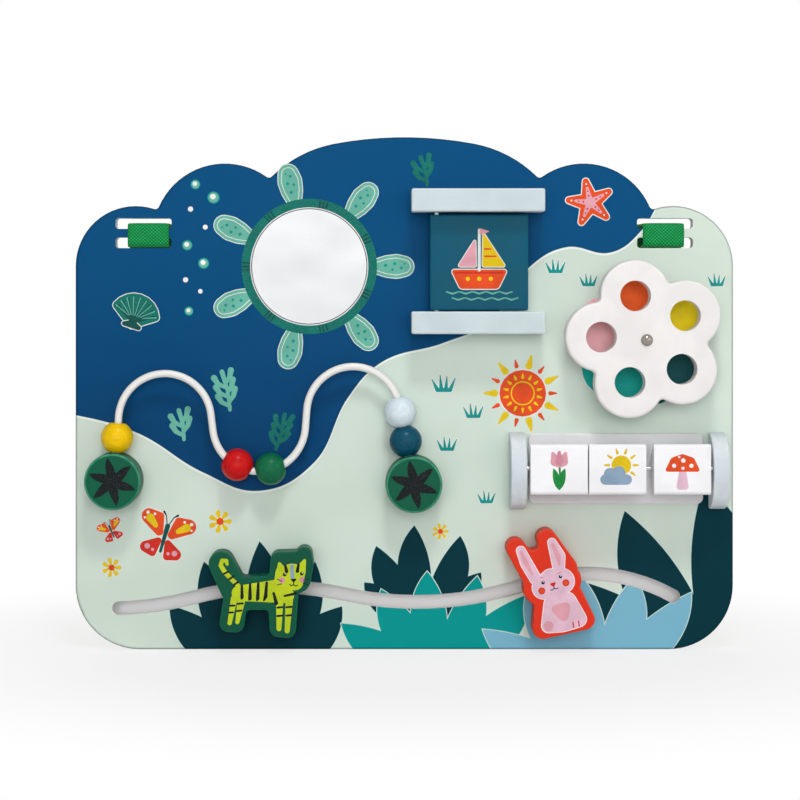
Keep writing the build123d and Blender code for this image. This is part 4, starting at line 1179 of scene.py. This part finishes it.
def woven_strap(name, node):
    """One strap along the route, with its weave map."""
    centre_x = middle(node)[0]
    mesh = bmesh.new()
    along_layer = mesh.verts.layers.float.new("along")
    across_layer = mesh.verts.layers.float.new("across")
    section = webbing_section()
    for number, point in enumerate(route):
        before, after = route[max(number - 1, 0)], route[min(number + 1, len(route) - 1)]
        ahead = (after - before).normalized()
        out = Vector((-ahead.y, ahead.x))
        if number:
            made = bmesh.ops.extrude_edge_only(mesh, edges=edges)["geom"]
            edges = [g for g in made if isinstance(g, bmesh.types.BMEdge)]
            verts = [g for g in made if isinstance(g, bmesh.types.BMVert)]
            verts.sort(key=lambda v: v[across_layer])
        else:
            verts = [mesh.verts.new((0, 0, 0)) for _ in section]
            edges = [mesh.edges.new(pair) for pair in zip(verts, verts[1:] + verts[:1])]
            mesh.faces.new(verts)
        for order, (vert, (x, thick)) in enumerate(zip(verts, section)):
            flat = point + out * thick
            vert.co = Vector((centre_x + x, flat.x, flat.y)) * MM
            vert[along_layer] = number * ROUTE_STEP
            vert[across_layer] = order
    mesh.faces.new(verts)
    bmesh.ops.recalc_face_normals(mesh, faces=mesh.faces)
    uv_layer = mesh.loops.layers.uv.new("UVMap")
    for face in mesh.faces:
        for corner in face.loops:
            order = round(corner.vert[across_layer])
            corner[uv_layer].uv = (section[order][0] + STRAP_HALF, corner.vert[along_layer])
        face.smooth = len(face.verts) == 4
    piece = mesh_object(name, mesh, webbing.material)
    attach(piece, "board")
    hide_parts(node)


for place in ("left", "right"):
    woven_strap("woven_strap_" + place, "strap_" + place)

# %% [markdown]
# The loose ends close with hook and loop tape, sewn on round its edge. The tape is fuzzy, so
# its finish is matt with a coarse relief. The stitches are small capsules of thread, set in a
# row along each edge of the tape.

# %% Tape and stitches
tape = Finish("hook and loop tape", base_color=srgb(16, 84, 44), roughness=0.95, sheen_weight=0.4)
HOOK_GAP = 0.8          # millimetres from hook to hook
hooks = tape.node("TexVoronoi", (tape.coordinates(), None, 1 / (HOOK_GAP * MM))).outputs[0]
tape.relief(hooks, 0.4)
dress(tape, "strap_hook_patches", "strap_loop_patches")
thread = Finish("thread", base_color=srgb(10, 120, 52), roughness=0.6, sheen_weight=0.3)
thread.relief(thread.noise(0.2, 2.0), 0.05, 0.5)

STITCH_R, STITCH_L, STITCH_GAP = 0.22, 2.0, 0.7
STITCH_ARC = OUTER_ARC + STRAP_HALF_T + 0.06    # a stitch lies a little proud of the webbing
STITCH_SIDE = 9.6       # from the webbing's middle to a long row
STITCH_COLUMNS = 7
LONG_START = -OVERLAP + 4                       # angles of the first stitch of a long row,
ACROSS_ROWS = (-OVERLAP + 2.4, OVERLAP - 3.4)   # and of the two short rows


def stitch(mesh, x, angle, quarter_turns):
    """One stitch on the loop's outside, along the webbing or turned across it."""
    turn = Matrix.Rotation(radians(angle), 4, "X")
    centre = Matrix.Translation(Vector((x, LOOP_CENTRE.x, LOOP_CENTRE.y)))
    lie = Matrix.Rotation(quarter_turns * pi / 2, 4, "Y")
    squeeze = Matrix.Diagonal((STITCH_R, STITCH_R, STITCH_L / 2, 1))
    place = centre @ turn @ Matrix.Translation((0, STITCH_ARC, 0)) @ lie @ squeeze
    place = Matrix.Scale(MM, 4) @ place
    bmesh.ops.create_uvsphere(mesh, u_segments=8, v_segments=6, radius=1.0, matrix=place)


def stitches(name, node):
    """Box of stitches round the tape, on the outside of the overlap."""
    centre_x = middle(node)[0]
    mesh = bmesh.new()
    turn_step = degrees((STITCH_L + STITCH_GAP) / STITCH_ARC)
    rows = int(-2 * LONG_START / turn_step)
    for side in (-STITCH_SIDE, STITCH_SIDE):
        for row in range(rows + 1):
            stitch(mesh, centre_x + side, LONG_START + row * turn_step, 0)
    for end in ACROSS_ROWS:
        for column in range(STITCH_COLUMNS):
            across = (column - STITCH_COLUMNS // 2) * (STITCH_L + STITCH_GAP)
            stitch(mesh, centre_x + across, end, 1)
    for face in mesh.faces:
        face.smooth = True
    piece = mesh_object(name, mesh, thread.material)
    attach(piece, "board")


for place in ("left", "right"):
    stitches("strap_stitches_" + place, "strap_" + place)

# %% [markdown]
# ## Lamps, floor and background
# A small softbox hangs above and in front, and two more stand at the right and behind. Most of
# the light comes from the sky: it is bright round the direction straight in front of the board
# and dim elsewhere, which lights the face evenly and leaves soft shadows. The camera sees it
# plain white. Glossy surfaces see it white above the horizon and pale grey below.

# %% World
world = bpy.data.worlds.new("studio")
bpy.context.scene.world = world
world.use_nodes = True
sky = world.node_tree
sky.nodes.clear()


def sky_light(strength):
    """White light of this strength."""
    return add_node(sky, "Background", ((1, 1, 1, 1), strength)).outputs[0]


def sky_range(value, *limits):
    """Soft change of brightness from one direction to another."""
    return add_node(sky, "MapRange", (value, *limits), interpolation_type="SMOOTHSTEP").outputs[0]


def either(share, first, second):
    """The first light where the share is 0, and the second where it is 1."""
    return add_node(sky, "MixShader", (share, first, second)).outputs[0]


rays = add_node(sky, "LightPath").outputs
direction = add_node(sky, "TexCoord").outputs[0]
_, towards_back, upwards = add_node(sky, "SeparateXYZ", (direction,)).outputs
FILL_DIM, FILL_BRIGHT = 0.12, 5.4
MIRRORED_LOW, MIRRORED_HIGH = 0.82, 1.02
fill = sky_light(sky_range(towards_back, -0.82, -1.0, FILL_DIM, FILL_BRIGHT))
mirrored = sky_light(sky_range(upwards, -0.02, 0.045, MIRRORED_LOW, MIRRORED_HIGH))
direct_rays = (rays["Is Camera Ray"], rays["Is Transmission Ray"])
seen = add_node(sky, "Math", direct_rays, operation="MAXIMUM").outputs[0]
lit = either(rays["Is Glossy Ray"], fill, mirrored)
add_node(sky, "OutputWorld", (either(seen, lit, sky_light(1.0)),))
print("sky with", len(sky.nodes), "nodes")


# %% Lamps
def lamp(name, place, width, height, watts):
    """Soft rectangular lamp that faces the board's middle."""
    data = bpy.data.lights.new(name, "AREA")
    data.shape = "RECTANGLE"
    data.size = width
    data.size_y = height
    data.energy = watts
    made = add_object(name, data)
    made.location = place
    made.rotation_euler = (-Vector(place)).to_track_quat("-Z", "Y").to_euler()
    print(name, watts, "W")


lamp("softbox above", (0.1, -0.95, 1.35), 0.34, 0.26, 9.5)
lamp("softbox right", (1.3, -1.2, 0.5), 0.8, 0.8, 2.4)
lamp("softbox behind", (-0.3, 1.6, 0.9), 1.2, 1.2, 9.0)

# %% [markdown]
# The board stands on a wide pale floor. The floor looks white to the camera, apart from a share
# of the board's shadow, which runs out with the distance. An emission shader gives the white,
# and a diffuse one the shadow.

# %% Floor
FLOOR_DROP = 0.0002     # metres below the board's lowest point
FLOOR_HALF = 6.0
SHADOW_LEFT = 0.25      # share of the shadow that stays on the white floor
SHADOW_NEAR, SHADOW_FAR = 0.2, 0.45    # metres from the board over which that share runs out
ground = Finish("floor", base_color=(0.8, 0.8, 0.8, 1), roughness=0.8)
glow = ground.node("Emission")
ray_kind = ground.node("LightPath").outputs
seen_white = ground.maths("MAXIMUM", ray_kind["Is Camera Ray"], ray_kind["Is Glossy Ray"])
from_middle = ground.node("VectorMath", (ground.place.outputs["Object"],), operation="LENGTH")
shadow = ground.between(from_middle.outputs["Value"], SHADOW_NEAR, SHADOW_FAR, SHADOW_LEFT, 0.0)
share_white = ground.maths("MULTIPLY", seen_white, ground.maths("SUBTRACT", 1.0, shadow))
blend = ground.node("MixShader", (share_white, ground.shader.outputs[0], glow.outputs[0]))
feed(ground.tree, ground.tree.nodes["Material Output"].inputs[0], blend.outputs[0])

floor_mesh = bmesh.new()
bmesh.ops.create_grid(floor_mesh, x_segments=1, y_segments=1, size=FLOOR_HALF)
bmesh.ops.translate(floor_mesh, vec=(0, 0, cad_bounds[0][2] - FLOOR_DROP), verts=floor_mesh.verts)
mesh_object("floor", floor_mesh, ground.material)

# %% [markdown]
# ## Size
# The box of the imported pieces is printed, in millimetres.

# %% Sizes
print("packed box", [[round(v / MM, 1) for v in corner] for corner in cad_bounds])
